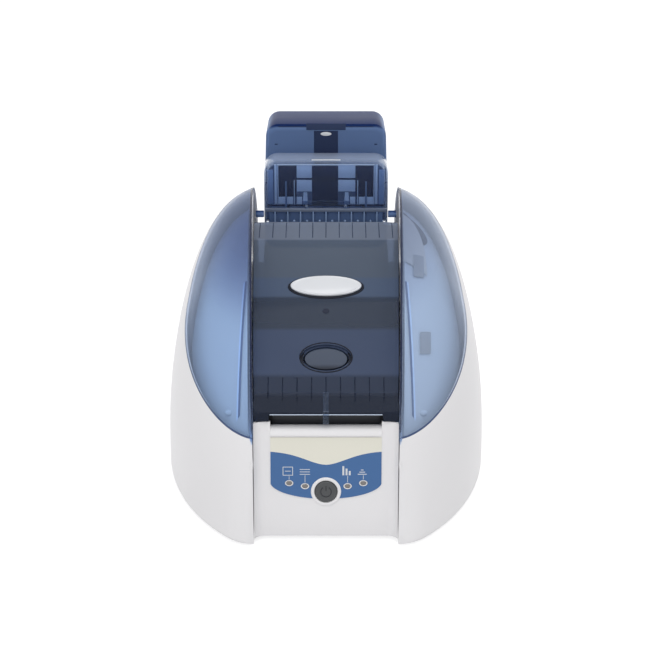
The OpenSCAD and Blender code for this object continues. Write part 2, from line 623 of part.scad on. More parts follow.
module side_plate() placed() difference() {
    union() {
        translate([plate_half, 0, 0]) rotate([90, 0, 90]) linear_extrude(plate_t) polygon([
            [plate_d[0], plate_low], [plate_d[1], plate_low], [plate_d[1], plate_high],
            [hinge_d + post_half + 1.6, plate_high], [hinge_d + post_half, hinge_z],
            [hinge_d - post_half, hinge_z], [hinge_d - post_half, clean_z + 10.6],
            [clean_d - 4, clean_z + 8.6], [clean_d - 10, supply_z + supply_r], [platen_d - 2, supply_z + 10],
            [take_d - 14, take_z + 10], [front_drive_d + 4, pinch_z + 7.6], [plate_d[0], slot_high - 4]]);
        translate([plate_half + plate_t / 2, hinge_d, hinge_z]) cross_rod(post_half + 0.3, plate_t);
        translate([plate_half + plate_t / 2, feed_d, drive_z]) cross_rod(feed_tab_r, plate_t);
        for (d = plate_screw_d) block([plate_half - 9, plate_half + eps], [d - 6, d + 6], [plate_low, plate_low + plate_t]);
    }
    translate([plate_half + 1, hinge_d, hinge_z]) cross_rod(hinge_pin_r, 6);
    for (d = drive_d) translate([plate_half + 1, d, drive_z]) cross_rod(shaft_r + run_gap, 6);
    for (d = pinch_d) translate([plate_half + 1, d, pinch_z]) cross_rod(pinch_shaft_r + run_gap, 6);
    translate([plate_half + 1, clean_d, clean_z]) cross_rod(pinch_shaft_r + run_gap, 6);
    for (p = [[supply_d, supply_z], [take_d, take_z]])
        translate([plate_half + 1, p[0], p[1]]) cross_rod(spool_shaft_r + run_gap, 6);
    translate([plate_half + 1, head_pivot_d, head_pivot_z]) cross_rod(bar_r + run_gap, 6);
    translate([plate_half + 1, motor_d, motor_z]) cross_rod(8, 6);
    for (d = plate_screw_d) translate([plate_screw_x, d, plate_low - 1]) cylinder(r = screw_r, h = 4);
}
module right_side_plate() color(steel) side_plate();
module left_side_plate() mirror([1, 0, 0]) right_side_plate();
module cross_bars() color(steel) placed() for (p = bar_at)
    translate([0, p[0], p[1]]) cross_rod(bar_r, 2 * plate_half);
module plate_screws() color(steel) placed() for (d = plate_screw_d) for (s = [-1, 1])
    translate([s * plate_screw_x, d, plate_low + plate_t]) {
        cylinder(r = 2.8, h = 2);
        translate([0, 0, -plate_t - tray_t]) cylinder(r = screw_r, h = plate_t + tray_t + eps);
    }

// A rubber roller on its steel shaft; the shaft's tail carries the pulley.
roller_half = 32;
module shaft_with(r, half, tail) {
    cross_rod(r, 2 * half);
    if (tail > half) translate([(half + tail) / 2, 0, 0]) cross_rod(r, tail - half);
}
pulley_w = 2.4;
pulley_x = plate_half + plate_t + 2.2;
module pulley(x) translate([x + pulley_w / 2, 0, 0]) cross_rod(pulley_r, pulley_w);
module drive_roller(d, body_r, body_half = roller_half) color(rubber) placed() translate([0, d, drive_z]) {
    shaft_with(shaft_r, plate_half + plate_t, pulley_x + pulley_w + 0.3);
    cross_rod(body_r, 2 * body_half);
    pulley(pulley_x);
}
module front_drive_roller() drive_roller(front_drive_d, roller_r);
module rear_drive_roller() drive_roller(rear_drive_d, roller_r);
module feed_roller() drive_roller(feed_d, roller_r, card_half - 1.4);
// The platen has a second pulley at its left end, driven by the motor's belt.
module platen_roller() {
    drive_roller(platen_d, roller_r);
    color(rubber) placed() mirror([1, 0, 0]) translate([0, platen_d, drive_z]) {
        shaft_with(shaft_r, plate_half, pulley_x + pulley_w + 0.3);
        pulley(pulley_x);
    }
}
module pinch_roller(d) color(steel) placed() translate([0, d, pinch_z]) {
    cross_rod(pinch_shaft_r, 2 * (plate_half + plate_t));
    mirrored() translate([16, 0, 0]) cross_rod(pinch_r, 14);
}
module front_pinch_roller() pinch_roller(front_drive_d);
module rear_pinch_roller() pinch_roller(rear_drive_d);
module cleaning_roller() color([0.55, 0.60, 0.30]) placed() translate([0, clean_d, clean_z]) {
    cross_rod(pinch_shaft_r, 2 * (plate_half + plate_t));
    cross_rod(clean_r, 2 * (card_half - 0.4));
}

// Toothed belts as plain loops round pulleys of one size.
belt_t = 1.2;
belt_w = pulley_w - 0.8;
module loop_outline(length, r) union() {
    circle(r = r);
    translate([length, 0]) circle(r = r);
    translate([0, -r]) square([length, 2 * r]);
}
module belt_loop(from, to, x) {
    length = norm([to[0] - from[0], to[1] - from[1]]);
    translate([x, from[0], from[1]]) rotate([90, 0, 90])
        rotate([0, 0, atan2(to[1] - from[1], to[0] - from[0])]) linear_extrude(belt_w) difference() {
            loop_outline(length, pulley_r + 0.1 + belt_t);
            loop_outline(length, pulley_r + 0.1);
        }
}
module path_belt() color(dark) placed()
    belt_loop([front_drive_d, drive_z], [feed_d, drive_z], pulley_x + 0.4);
// The motor turns the platen through its own belt on the left side.
module motor_belt() color(dark) placed() mirror([1, 0, 0])
    belt_loop([motor_d, motor_z], [platen_d, drive_z], pulley_x + 0.4);
motor_shaft_r = 2;
module motor_pulley() color(steel) placed() mirror([1, 0, 0]) translate([0, motor_d, motor_z]) {
    pulley(pulley_x);
    translate([plate_half, 0, 0]) cross_rod(motor_shaft_r, 12);
}
motor_half = 17.5;
motor_len = 24;
module drive_motor() color([0.22, 0.22, 0.24]) placed() mirror([1, 0, 0]) difference() {
    intersection() {
        block([plate_half - motor_len, plate_half], [motor_d - motor_half, motor_d + motor_half],
            [motor_z - motor_half, motor_z + motor_half]);
        translate([0, motor_d, motor_z]) rotate([45, 0, 0])
            cube([200, 2.5 * motor_half, 2.5 * motor_half], center = true);
    }
    translate([plate_half, motor_d, motor_z]) cross_rod(motor_shaft_r + run_gap, 14);
}

// Bed plates that carry the card between the rollers.
bed_z = path_z - 0.6;
bed_stops = [[front_drive_d + 8, platen_d - 9], [platen_d + 9, rear_drive_d - 9], [rear_drive_d + 9, feeder_d[0] - 2.5]];
module card_bed() color(pale) placed() for (b = bed_stops) difference() {
    union() {
        block([-plate_half, plate_half], b, [bed_z - 2, bed_z]);
        mirrored() block([card_half + 0.3, card_half + 2], b, [bed_z - eps, bed_z + 2]);
    }
    block([-12, 12], [b[0] + 8, b[1] - 8], [bed_z - 3, bed_z + 1]);
}

// Print head on a carrier that swings down onto the ribbon.
head_half = 29;
head_low_z = path_z + 3;
carrier_rear_d = platen_d + head_reach;
module head_carrier() color(dark) placed() difference() {
    union() {
        block([-head_half - 3, head_half + 3], [head_pivot_d + 3, carrier_rear_d], [head_pivot_z - 3, head_pivot_z]);
        mirrored() block([head_half, head_half + 3], [head_pivot_d - 3.6, carrier_rear_d],
            [head_pivot_z - 8, head_pivot_z + 2.4]);
        translate([0, head_pivot_d, head_pivot_z]) cross_rod(bar_r, 2 * (plate_half + plate_t));
    }
}
module print_head() color([0.78, 0.74, 0.62]) placed() {
    block([-head_half + 0.3, head_half - 0.3], [platen_d - 4, platen_d + 4], [head_low_z, head_low_z + 4]);
    block([-head_half + 3, head_half - 3], [platen_d - 1.5, platen_d + 1.5], [head_low_z - 1.2, head_low_z + eps]);
}
module head_heat_sink() color(steel) placed() {
    block([-head_half + 0.3, head_half - 0.3], [platen_d - 5, platen_d + 6], [head_low_z + 4, head_low_z + 8]);
    for (k = [-4:4]) block([k * 6.4 - 0.8, k * 6.4 + 0.8], [platen_d - 5, platen_d + 6],
        [head_low_z + 8 - eps, head_pivot_z - 3]);
}

// Ribbon: a full supply spool, a take-up spool and the film between them.
spool_half = 30;
take_r = 8;
film_t = 0.3;
module spool(d, z, film_r) placed() translate([0, d, z]) {
    cross_rod(spool_shaft_r, 2 * (plate_half + plate_t));
    cross_rod(film_r, 2 * (spool_half - 1));
    mirrored() translate([spool_half, 0, 0]) cross_rod(film_r + 1.5, 2);
}
module supply_spool() color([0.16, 0.16, 0.18]) spool(supply_d, supply_z, supply_r);
module take_up_spool() color([0.16, 0.16, 0.18]) spool(take_d, take_z, take_r);
module ribbon_film() color([0.05, 0.05, 0.06]) placed() {
    low = head_low_z - 1.8;
    start = [supply_d + 5, supply_z - supply_r - 0.5];
    finish = [take_d - 2, take_z - take_r - 0.5];
    across(spool_half - 3) polygon([start, [platen_d + 8, low], [platen_d - 6, low], finish,
        [finish[0], finish[1] - film_t], [platen_d - 6, low - film_t], [platen_d + 8, low - film_t],
        [start[0], start[1] - film_t]]);
}

board_half = 36;
board_t = 1.6;
// Chips as x, distance from the board's front edge, and side.
chip_at = [[0, 32, 14], [18, 12, 10], [-20, 62, 12], [20, 72, 16]];
chip_t = 2.4;
can_x = [-8, 6, 30];
can_r = 4;
can_h = 11;
module main_board() color(board_green) placed() {
    difference() {
        block([-board_half, board_half], board_d, [board_z, board_z + board_t]);
        for (d = board_posts_d) mirrored() translate([board_post_x, d, board_z - 1]) cylinder(r = 1.4, h = board_t + 2);
    }
    for (c = chip_at)
        block([c[0] - c[2] / 2, c[0] + c[2] / 2], [board_d[0] + c[1] - c[2] / 2, board_d[0] + c[1] + c[2] / 2],
            [board_z + board_t, board_z + board_t + chip_t]);
    for (x = can_x) translate([x, board_d[1] - 3 * can_r, board_z + board_t]) cylinder(r = can_r, h = can_h);
}
module power_inlet() color(dark) placed() translate([inlet_x, rear_d0, inlet_z]) rotate([-90, 0, 0]) difference() {
    union() {
        translate([0, 0, -inlet_depth]) cylinder(r = inlet_r, h = inlet_depth + rear_t);
        translate([-inlet_r - 1.1, -inlet_r - 1.1, -inlet_depth]) cube([2 * inlet_r + 2.2, 2 * inlet_r + 2.2, inlet_depth]);
    }
    translate([0, 0, -9]) difference() { cylinder(r = 3.4, h = 20); cylinder(r = 1, h = 20); }
}
module data_socket() color(steel) placed() difference() {
    block([socket_x - socket_half[0], socket_x + socket_half[0]], [rear_d0 - inlet_depth, rear_d0 + rear_t],
        [inlet_z - socket_half[1], inlet_z + socket_half[1]]);
    block([socket_x - socket_half[0] + socket_wall, socket_x + socket_half[0] - socket_wall],
        [rear_d0 - 8, rear_d0 + rear_t + 1],
        [inlet_z - socket_half[1] + socket_wall, inlet_z + socket_half[1] - socket_wall]);
}
feet_at = [[66, 60], [62, 240]];
foot_r = 7;
module rubber_feet() color(rubber) placed() for (c = feet_at)
    mirrored() translate([c[0], c[1], 0]) cylinder(r = foot_r, h = foot_h);

base_tray();
left_side_shell();
right_side_shell();
left_wing_cover();
right_wing_cover();
left_inner_housing();
right_inner_housing();
front_panel();
control_label();
indicator_leds();
power_button();
panel_board();
card_exit_guide();
top_cover();
cover_badge();
latch_button();
latch_hook();
hood_hinge_pin();
hinge_bridge();
rear_deck();
rear_panel();
feeder_body();
feeder_gate();
feeder_lid();
feeder_hinge_pin();
card_weight();
card_gauge();
left_side_plate();
right_side_plate();
cross_bars();
card_bed();
feed_roller();
rear_drive_roller();
platen_roller();
front_drive_roller();
rear_pinch_roller();
front_pinch_roller();
cleaning_roller();
head_carrier();
print_head();
head_heat_sink();
supply_spool();
take_up_spool();
ribbon_film();
drive_motor();
motor_pulley();
motor_belt();
path_belt();
main_board();
power_inlet();
data_socket();
rubber_feet();
plate_screws();
panel_screws();
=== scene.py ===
# %% [markdown]
# # A desktop printer for plastic cards
#
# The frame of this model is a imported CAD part: every piece of the printer stands in it at its
# real size, and the joints move it. This script gives the pieces their looks. Where the plain
# CAD solid is already right, it only gets a finish. Where the real piece has soft curves, thin
# clear walls or rounded edges, a smoother mesh takes the solid's place.

# %% Load the frame
import json
import math

import bmesh
import bpy
from mathutils import Matrix, Vector


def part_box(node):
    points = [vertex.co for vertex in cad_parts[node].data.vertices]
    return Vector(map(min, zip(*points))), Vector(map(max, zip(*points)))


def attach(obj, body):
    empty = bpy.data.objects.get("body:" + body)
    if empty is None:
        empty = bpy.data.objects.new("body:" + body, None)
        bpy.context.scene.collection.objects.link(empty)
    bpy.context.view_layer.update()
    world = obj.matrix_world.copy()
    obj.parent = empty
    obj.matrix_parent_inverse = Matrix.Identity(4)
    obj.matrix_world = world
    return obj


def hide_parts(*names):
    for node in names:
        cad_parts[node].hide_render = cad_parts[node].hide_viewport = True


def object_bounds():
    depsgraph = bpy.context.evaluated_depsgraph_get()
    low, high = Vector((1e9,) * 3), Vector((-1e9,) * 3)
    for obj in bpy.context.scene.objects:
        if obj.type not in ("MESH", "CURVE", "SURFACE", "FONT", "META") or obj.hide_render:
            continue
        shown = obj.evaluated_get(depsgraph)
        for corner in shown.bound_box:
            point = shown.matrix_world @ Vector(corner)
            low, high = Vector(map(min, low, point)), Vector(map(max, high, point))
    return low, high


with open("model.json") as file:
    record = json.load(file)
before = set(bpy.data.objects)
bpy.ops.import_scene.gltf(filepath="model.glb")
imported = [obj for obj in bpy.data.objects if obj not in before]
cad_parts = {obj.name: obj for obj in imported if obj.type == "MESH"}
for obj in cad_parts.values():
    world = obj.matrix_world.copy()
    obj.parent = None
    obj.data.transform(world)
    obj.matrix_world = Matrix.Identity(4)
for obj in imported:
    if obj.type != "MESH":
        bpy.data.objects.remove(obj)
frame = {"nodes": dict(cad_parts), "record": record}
nodes = frame["nodes"]
for plain in list(bpy.data.materials):
    bpy.data.materials.remove(plain)
cad_low, cad_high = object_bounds()
print("frame loaded:", len(nodes), "nodes, box", [round(v, 4) for v in (*cad_low, *cad_high)])

# %% [markdown]
# ## Measures
#
# All lengths are metres. Depth is measured from the printer's front edge, as a maker would do
# with a rule laid along its side, so a small function turns width, depth and height into a
# point of the frame.

# %% Lengths and places
mm = 0.001
front_y = cad_low.y


def at(x, depth, height):
    return Vector((x, front_y + depth, height))


hood_low, hood_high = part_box("top_cover")
hood_size = hood_high - hood_low
print("the hood is", round(hood_size.x, 4), "wide and", round(hood_size.y, 4), "long")

# %% [markdown]
# ## Camera
#
# The printer was photographed from the front and from a good way above, with a long lens. The
# camera stands 1.2 m from a point in the middle of the hood's front half, 27 degrees above it.
# It looks a little above that point, so that the printer sits slightly low in the picture.

# %% Camera
aim = at(0, 0.100, 0.070)
camera_distance = 1.2
camera_elevation = math.radians(27)
axis_raise = math.radians(1.53)
lens_mm, sensor_mm = 100.4, 36
near_clip, far_clip = 0.05, 30

camera = bpy.data.objects.new("camera", bpy.data.cameras.new("camera"))
bpy.context.scene.collection.objects.link(camera)
away = Vector((0, -math.cos(camera_elevation), math.sin(camera_elevation)))
camera.location = aim + camera_distance * away
camera.rotation_euler = (math.pi / 2 - camera_elevation + axis_raise, 0, 0)
camera.data.lens = lens_mm
camera.data.sensor_width = sensor_mm
camera.data.clip_start, camera.data.clip_end = near_clip, far_clip
bpy.context.scene.camera = camera
print("camera at", [round(v, 3) for v in camera.location])

# %% [markdown]
# ## Building node trees
#
# A material is a tree of nodes, and each node needs a call to make it and one per value. A small
# helper makes a node and sets its values by name in one line, so that what follows can be read
# as a recipe.

# %% Node helpers
def node(tree, kind, **values):
    """Makes a node. A value is one of the node's own settings, or else goes to the input of that
    name, with _ for each space."""
    made = tree.nodes.new(kind)
    for label, value in values.items():
        if hasattr(made, label):
            setattr(made, label, value)
        else:
            made.inputs[label.replace("_", " ")].default_value = value
    return made


def new_group(name, inputs, outputs):
    tree = bpy.data.node_groups.new(name, "ShaderNodeTree")
    for label, kind, value in inputs:
        socket = tree.interface.new_socket(name=label, in_out="INPUT", socket_type=kind)
        socket.default_value = value
    for label, kind in outputs:
        tree.interface.new_socket(name=label, in_out="OUTPUT", socket_type=kind)
    return tree, node(tree, "NodeGroupInput"), node(tree, "NodeGroupOutput")


def clean_tree(owner):
    """The node tree of a material or world, emptied."""
    owner.use_nodes = True
    owner.node_tree.nodes.clear()
    return owner.node_tree


print("node helpers ready")

# %% [markdown]
# ## The studio floor
#
# A pale floor carries the soft shadow. It has two looks, and Light Path picks one: rays that look
# straight at it, or through clear plastic, meet a floor that glows almost white, and rays that
# bounce off the printer meet plain pale paper, so the floor doesn't light the printer too much.

# %% Floor
white = (1, 1, 1, 1)
paper_grey, shade_grey = (0.80, 0.80, 0.80, 1), (0.42, 0.42, 0.43, 1)
floor_glow, floor_reach = 0.76, 6


def white_to_the_eye(tree, lit):
    """Mixes a lit shader with another, still to be linked, for rays that look straight at it."""
    path = node(tree, "ShaderNodeLightPath")
    seen, either = (node(tree, "ShaderNodeMath", operation="MAXIMUM") for _ in range(2))
    tree.links.new(path.outputs["Is Camera Ray"], seen.inputs[0])
    tree.links.new(path.outputs["Is Glossy Ray"], either.inputs[0])
    tree.links.new(path.outputs["Is Transmission Ray"], either.inputs[1])
    tree.links.new(either.outputs[0], seen.inputs[1])
    mix = node(tree, "ShaderNodeMixShader")
    tree.links.new(seen.outputs[0], mix.inputs["Fac"])
    tree.links.new(lit, mix.inputs[1])
    return mix


def floor_finish():
    finish = bpy.data.materials.new("studio_floor")
    tree = clean_tree(finish)
    paper = node(tree, "ShaderNodeBsdfDiffuse", Color=paper_grey)
    shaded = node(tree, "ShaderNodeBsdfDiffuse", Color=shade_grey)
    glow = node(tree, "ShaderNodeEmission", Color=white, Strength=floor_glow)
    both = node(tree, "ShaderNodeAddShader")
    tree.links.new(shaded.outputs[0], both.inputs[0])
    tree.links.new(glow.outputs[0], both.inputs[1])
    mix = white_to_the_eye(tree, paper.outputs[0])
    tree.links.new(both.outputs[0], mix.inputs[2])
    out = node(tree, "ShaderNodeOutputMaterial")
    tree.links.new(mix.outputs[0], out.inputs["Surface"])
    return finish


def studio_floor():
    bm = bmesh.new()
    bmesh.ops.create_grid(bm, x_segments=1, y_segments=1, size=floor_reach)
    mesh = bpy.data.meshes.new("floor")
    bm.to_mesh(mesh)
    bm.free()
    floor = bpy.data.objects.new("floor", mesh)
    floor.data.materials.append(floor_finish())
    bpy.context.scene.collection.objects.link(floor)


studio_floor()
print("floor laid,", 2 * floor_reach, "m wide")

# %% [markdown]
# ## World and lamps
#
# The world is a soft grey tent that lights the printer from all round, and it turns white only
# where the camera, a glossy surface or a clear plastic looks straight at it. Two large lamps add
# a gentle direction: one above, one by the camera. Small lamps would draw hard shadows.

# %% World and lamps
tent_strength = 0.62


def studio_world():
    world = bpy.data.worlds.new("studio")
    bpy.context.scene.world = world
    tree = clean_tree(world)
    tent = node(tree, "ShaderNodeBackground", Color=white, Strength=tent_strength)
    seen = node(tree, "ShaderNodeBackground", Color=white)
    mix = white_to_the_eye(tree, tent.outputs[0])
    tree.links.new(seen.outputs[0], mix.inputs[2])
    out = node(tree, "ShaderNodeOutputWorld")
    tree.links.new(mix.outputs[0], out.inputs["Surface"])


def soft_lamp(name, place, look_at, side, power):
    """A square area lamp; its power is in watts."""
    data = bpy.data.lights.new(name, "AREA")
    data.shape = "RECTANGLE"
    data.size, data.size_y = side, side
    data.energy = power
    lamp = bpy.data.objects.new(name, data)
    bpy.context.scene.collection.objects.link(lamp)
    lamp.location = place
    lamp.rotation_euler = (look_at - place).to_track_quat("-Z", "Y").to_euler()


studio_world()
middle = at(0, 0.146, 0.08)
soft_lamp("lamp_above", middle + Vector((0.1, -0.2, 1.5)), middle, 1.6, 13)
soft_lamp("lamp_front", middle + Vector((-0.5, -1.6, 0.9)), middle, 1.2, 6)
bpy.context.scene.view_settings.view_transform = "Standard"
print("studio ready")

# %% [markdown]
# ## The surface of moulded plastic
#
# Moulded plastic is never one flat colour. It has a fine spark-eroded grain, faint clouds where
# the melt cooled unevenly, and a gloss that changes a little from place to place. These three
# effects are built once, as a node group that any material can hold with its own values.

# %% The node group for moulded surfaces
def noise(tree, detail, roughness=0.5):
    return node(tree, "ShaderNodeTexNoise", Detail=detail, Roughness=roughness)


def build_moulded_group():
    tree, given, made = new_group(
        "moulded_surface",
        [("Colour", "NodeSocketColor", (0.8, 0.8, 0.8, 1)), ("Clouds", "NodeSocketFloat", 0.03),
         ("Cloud Scale", "NodeSocketFloat", 18.0), ("Grain Scale", "NodeSocketFloat", 1600.0),
         ("Gloss", "NodeSocketFloat", 0.4), ("Gloss Change", "NodeSocketFloat", 0.06)],
        [("Colour", "NodeSocketColor"), ("Roughness", "NodeSocketFloat"), ("Height", "NodeSocketFloat")])
    place = node(tree, "ShaderNodeTexCoord")
    clouds, grain = noise(tree, 3.0), noise(tree, 2.0, 0.6)
    for texture, scale in ((clouds, "Cloud Scale"), (grain, "Grain Scale")):
        tree.links.new(place.outputs["Object"], texture.inputs["Vector"])
        tree.links.new(given.outputs[scale], texture.inputs["Scale"])
    centred = node(tree, "ShaderNodeMath", operation="SUBTRACT")
    centred.inputs[1].default_value = 0.5
    tree.links.new(clouds.outputs["Fac"], centred.inputs[0])
    lightness = node(tree, "ShaderNodeMath", operation="MULTIPLY_ADD")
    lightness.inputs[2].default_value = 1.0
    tree.links.new(centred.outputs[0], lightness.inputs[0])
    tree.links.new(given.outputs["Clouds"], lightness.inputs[1])
    tint = node(tree, "ShaderNodeVectorMath", operation="SCALE")
    tree.links.new(given.outputs["Colour"], tint.inputs[0])
    tree.links.new(lightness.outputs[0], tint.inputs["Scale"])
    tree.links.new(tint.outputs[0], made.inputs["Colour"])
    gloss = node(tree, "ShaderNodeMath", operation="MULTIPLY_ADD")
    tree.links.new(centred.outputs[0], gloss.inputs[0])
    tree.links.new(given.outputs["Gloss Change"], gloss.inputs[1])
    tree.links.new(given.outputs["Gloss"], gloss.inputs[2])
    tree.links.new(gloss.outputs[0], made.inputs["Roughness"])
    tree.links.new(grain.outputs["Fac"], made.inputs["Height"])
    return tree


moulded_group = build_moulded_group()
print("group", moulded_group.name, "has", len(moulded_group.nodes), "nodes")

# %% [markdown]
# ## Finishes for solid plastics, rubber and metal
#
# One function fills a material: the group gives colour, roughness and grain height, a Bump node
# turns that height into a normal, and the Principled shader takes it all. Every finish after
# that is one line. The finishes of pieces that stay plain CAD solids are found by name later,
# and small pieces get theirs where they are made. A low index keeps the bright room from
# washing out a dark piece.

# %% Solid materials
bump_depth = 0.0002


def srgb(red, green, blue):
    """A colour read off a screen, 0 to 255, as the linear values that a shader wants."""
    def linear(c):
        c /= 255
        return c / 12.92 if c <= 0.04045 else ((c + 0.055) / 1.055) ** 2.4
    return (linear(red), linear(green), linear(blue), 1)


def moulded_shader(name, coat, index, **values):
    """A material whose Principled shader takes colour and roughness from the moulded group."""
    finish = bpy.data.materials.new(name)
    finish.use_nodes = True
    tree = finish.node_tree
    shader = tree.nodes["Principled BSDF"]
    shader.inputs["Coat Weight"].default_value = coat
    shader.inputs["IOR"].default_value = index
    surface = node(tree, "ShaderNodeGroup", node_tree=moulded_group)
    for label, value in values.items():
        surface.inputs[label.replace("_", " ")].default_value = value
    tree.links.new(surface.outputs["Colour"], shader.inputs["Base Color"])
    tree.links.new(surface.outputs["Roughness"], shader.inputs["Roughness"])
    return finish, tree, shader, surface


def moulded(name, colour, clouds=0.04, cloud_scale=18.0, grain=0.08, gloss=0.4, metal=0.0,
            coat=0.0, index=1.5):
    finish, tree, shader, surface = moulded_shader(name, coat, index, Colour=colour, Clouds=clouds,
                                                   Cloud_Scale=cloud_scale, Gloss=gloss)
    shader.inputs["Metallic"].default_value = metal
    bump = node(tree, "ShaderNodeBump", Strength=grain, Distance=bump_depth)
    tree.links.new(surface.outputs["Height"], bump.inputs["Height"])
    tree.links.new(bump.outputs["Normal"], shader.inputs["Normal"])
    return finish


white_case = moulded("white_case", srgb(226, 225, 227), clouds=0.03, gloss=0.34)
inner_white = moulded("inner_white", srgb(205, 208, 212), clouds=0.05, gloss=0.5)
button_grey = moulded("button_grey", srgb(66, 68, 70), clouds=0.12, cloud_scale=300, grain=0.3, gloss=0.45)
led_lens = moulded("led_lens", srgb(112, 108, 106), clouds=0.15, cloud_scale=400, gloss=0.22, coat=0.4)
black_plastic = moulded("black_plastic", srgb(38, 40, 46), clouds=0.1, grain=0.2, gloss=0.5)
badge_silver = moulded("badge_silver", srgb(206, 208, 212), clouds=0.05, grain=0.03, gloss=0.22, coat=0.5)
printed_label = moulded("printed_label", srgb(54, 97, 149), grain=0.04)

moulded("roller_rubber", srgb(36, 36, 38), clouds=0.15, grain=0.35, gloss=0.75)
moulded("cleaning_rubber", srgb(150, 160, 90), clouds=0.08, grain=0.2, gloss=0.35)
moulded("head_ceramic", srgb(200, 190, 160), clouds=0.06, gloss=0.2)
moulded("ribbon_dark", srgb(34, 36, 42), clouds=0.15, gloss=0.25)
moulded("motor_dark", srgb(58, 58, 62), clouds=0.1, grain=0.25, gloss=0.45)
moulded("steel", srgb(188, 190, 194), clouds=0.12, cloud_scale=60, grain=0.1, gloss=0.3, metal=1.0)
moulded("heat_sink", srgb(196, 198, 202), clouds=0.08, cloud_scale=90, gloss=0.38, metal=1.0)
moulded("circuit_board", srgb(24, 92, 58), clouds=0.3, cloud_scale=260, gloss=0.3)
print("solid materials:", len(bpy.data.materials))

# %% [markdown]
# ## Clear tinted plastics
#
# The wings, the hood and the feeder are clear plastic dyed blue or smoke. A dyed sheet does two
# things: it lets light through and colours it, and its polished skin mirrors the room, most of
# all at a glancing angle. So each material mixes a tinted Transparent shader with a Principled
# one, and Layer Weight says how much of the skin shows. Glass with refraction would be truer,
# but slow and noisy in a thin sheet. This way light still reaches what is inside.

# %% Colours that change along a piece
band_blur = 0.006


def run_along(tree, source, axis, low, high, blend):
    """0 at low and 1 at high along one axis: of the piece's places, or with source "Normal" of the
    way that its faces look."""
    place = node(tree, "ShaderNodeTexCoord")
    parts = node(tree, "ShaderNodeSeparateXYZ")
    tree.links.new(place.outputs[source], parts.inputs[0])
    run = node(tree, "ShaderNodeMapRange", interpolation_type=blend, From_Min=low, From_Max=high)
    tree.links.new(parts.outputs[axis], run.inputs["Value"])
    return run.outputs[0]


def along_piece(tree, axis, low, high, first, last, source="Object"):
    """A colour that runs from first at low to last at high."""
    mix = node(tree, "ShaderNodeMix", data_type="RGBA")
    share, colour_a, colour_b, mixed = mix.inputs[0], mix.inputs[6], mix.inputs[7], mix.outputs[2]
    colour_a.default_value, colour_b.default_value = first, last
    tree.links.new(run_along(tree, source, axis, low, high, "SMOOTHSTEP"), share)
    return mixed


def bands_along(tree, axis, low, high, bands):
    """Steps of colour from low to high along one axis: bands holds (place, colour) in rising order."""
    ramp = node(tree, "ShaderNodeValToRGB")
    steps = ramp.color_ramp.elements
    marks = [((at_place - low) / (high - low), colour) for at_place, colour in bands]
    steps[0].position, steps[0].color = 0.0, marks[0][1]
    steps[1].position, steps[1].color = 1.0, marks[-1][1]
    for (_, before), (share, colour) in zip(marks, marks[1:]):
        steps.new(max(0.0, share - band_blur)).color = before
        steps.new(min(1.0, share + band_blur)).color = colour
    tree.links.new(run_along(tree, "Object", axis, low, high, "LINEAR"), ramp.inputs[0])
    return ramp.outputs[0]


print("colour runs ready")

# %% [markdown]
# ## A clear finish
#
# The dye's own colour comes from the moulded group, without its grain, because a clear skin is
# polished. How much of it shows is the share that is milky, plus the gloss at a glancing angle.

# %% Maker of clear materials
dye_clouds, dye_cloud_scale, dye_gloss_change = 0.1, 30.0, 0.04


def clear_plastic(name, through, body, share, gloss=0.08, skin=0.8, power=5.0, coat=0.3, index=1.5,
                  fade=None, deepen=None, bands=None):
    """through tints what is seen behind, body is the dye's own colour and share how milky it is.
    fade = (axis, low, high, colour at the low end) for the body; deepen is the same for through,
    with the colour at the high end. skin and power shape the gloss at a glancing angle."""
    finish, tree, shader, surface = moulded_shader(
        name, coat, index, Colour=body, Clouds=dye_clouds, Cloud_Scale=dye_cloud_scale, Gloss=gloss,
        Gloss_Change=dye_gloss_change)
    if fade:
        tree.links.new(along_piece(tree, *fade[:4], body, *fade[4:]), surface.inputs["Colour"])
    if bands:
        tree.links.new(bands_along(tree, *bands), surface.inputs["Colour"])
    window = node(tree, "ShaderNodeBsdfTransparent", Color=through)
    if deepen:
        tree.links.new(along_piece(tree, *deepen[:3], through, deepen[3]), window.inputs["Color"])
    edge = node(tree, "ShaderNodeLayerWeight")
    steep = node(tree, "ShaderNodeMath", operation="POWER")
    steep.inputs[1].default_value = power
    tree.links.new(edge.outputs["Facing"], steep.inputs[0])
    amount = node(tree, "ShaderNodeMath", operation="MULTIPLY_ADD", use_clamp=True)
    amount.inputs[1].default_value, amount.inputs[2].default_value = skin, share
    tree.links.new(steep.outputs[0], amount.inputs[0])
    mix = node(tree, "ShaderNodeMixShader")
    tree.links.new(amount.outputs[0], mix.inputs["Fac"])
    tree.links.new(window.outputs[0], mix.inputs[1])
    tree.links.new(shader.outputs[0], mix.inputs[2])
    tree.links.new(mix.outputs[0], tree.nodes["Material Output"].inputs["Surface"])
    return finish


print("maker of clear materials ready")
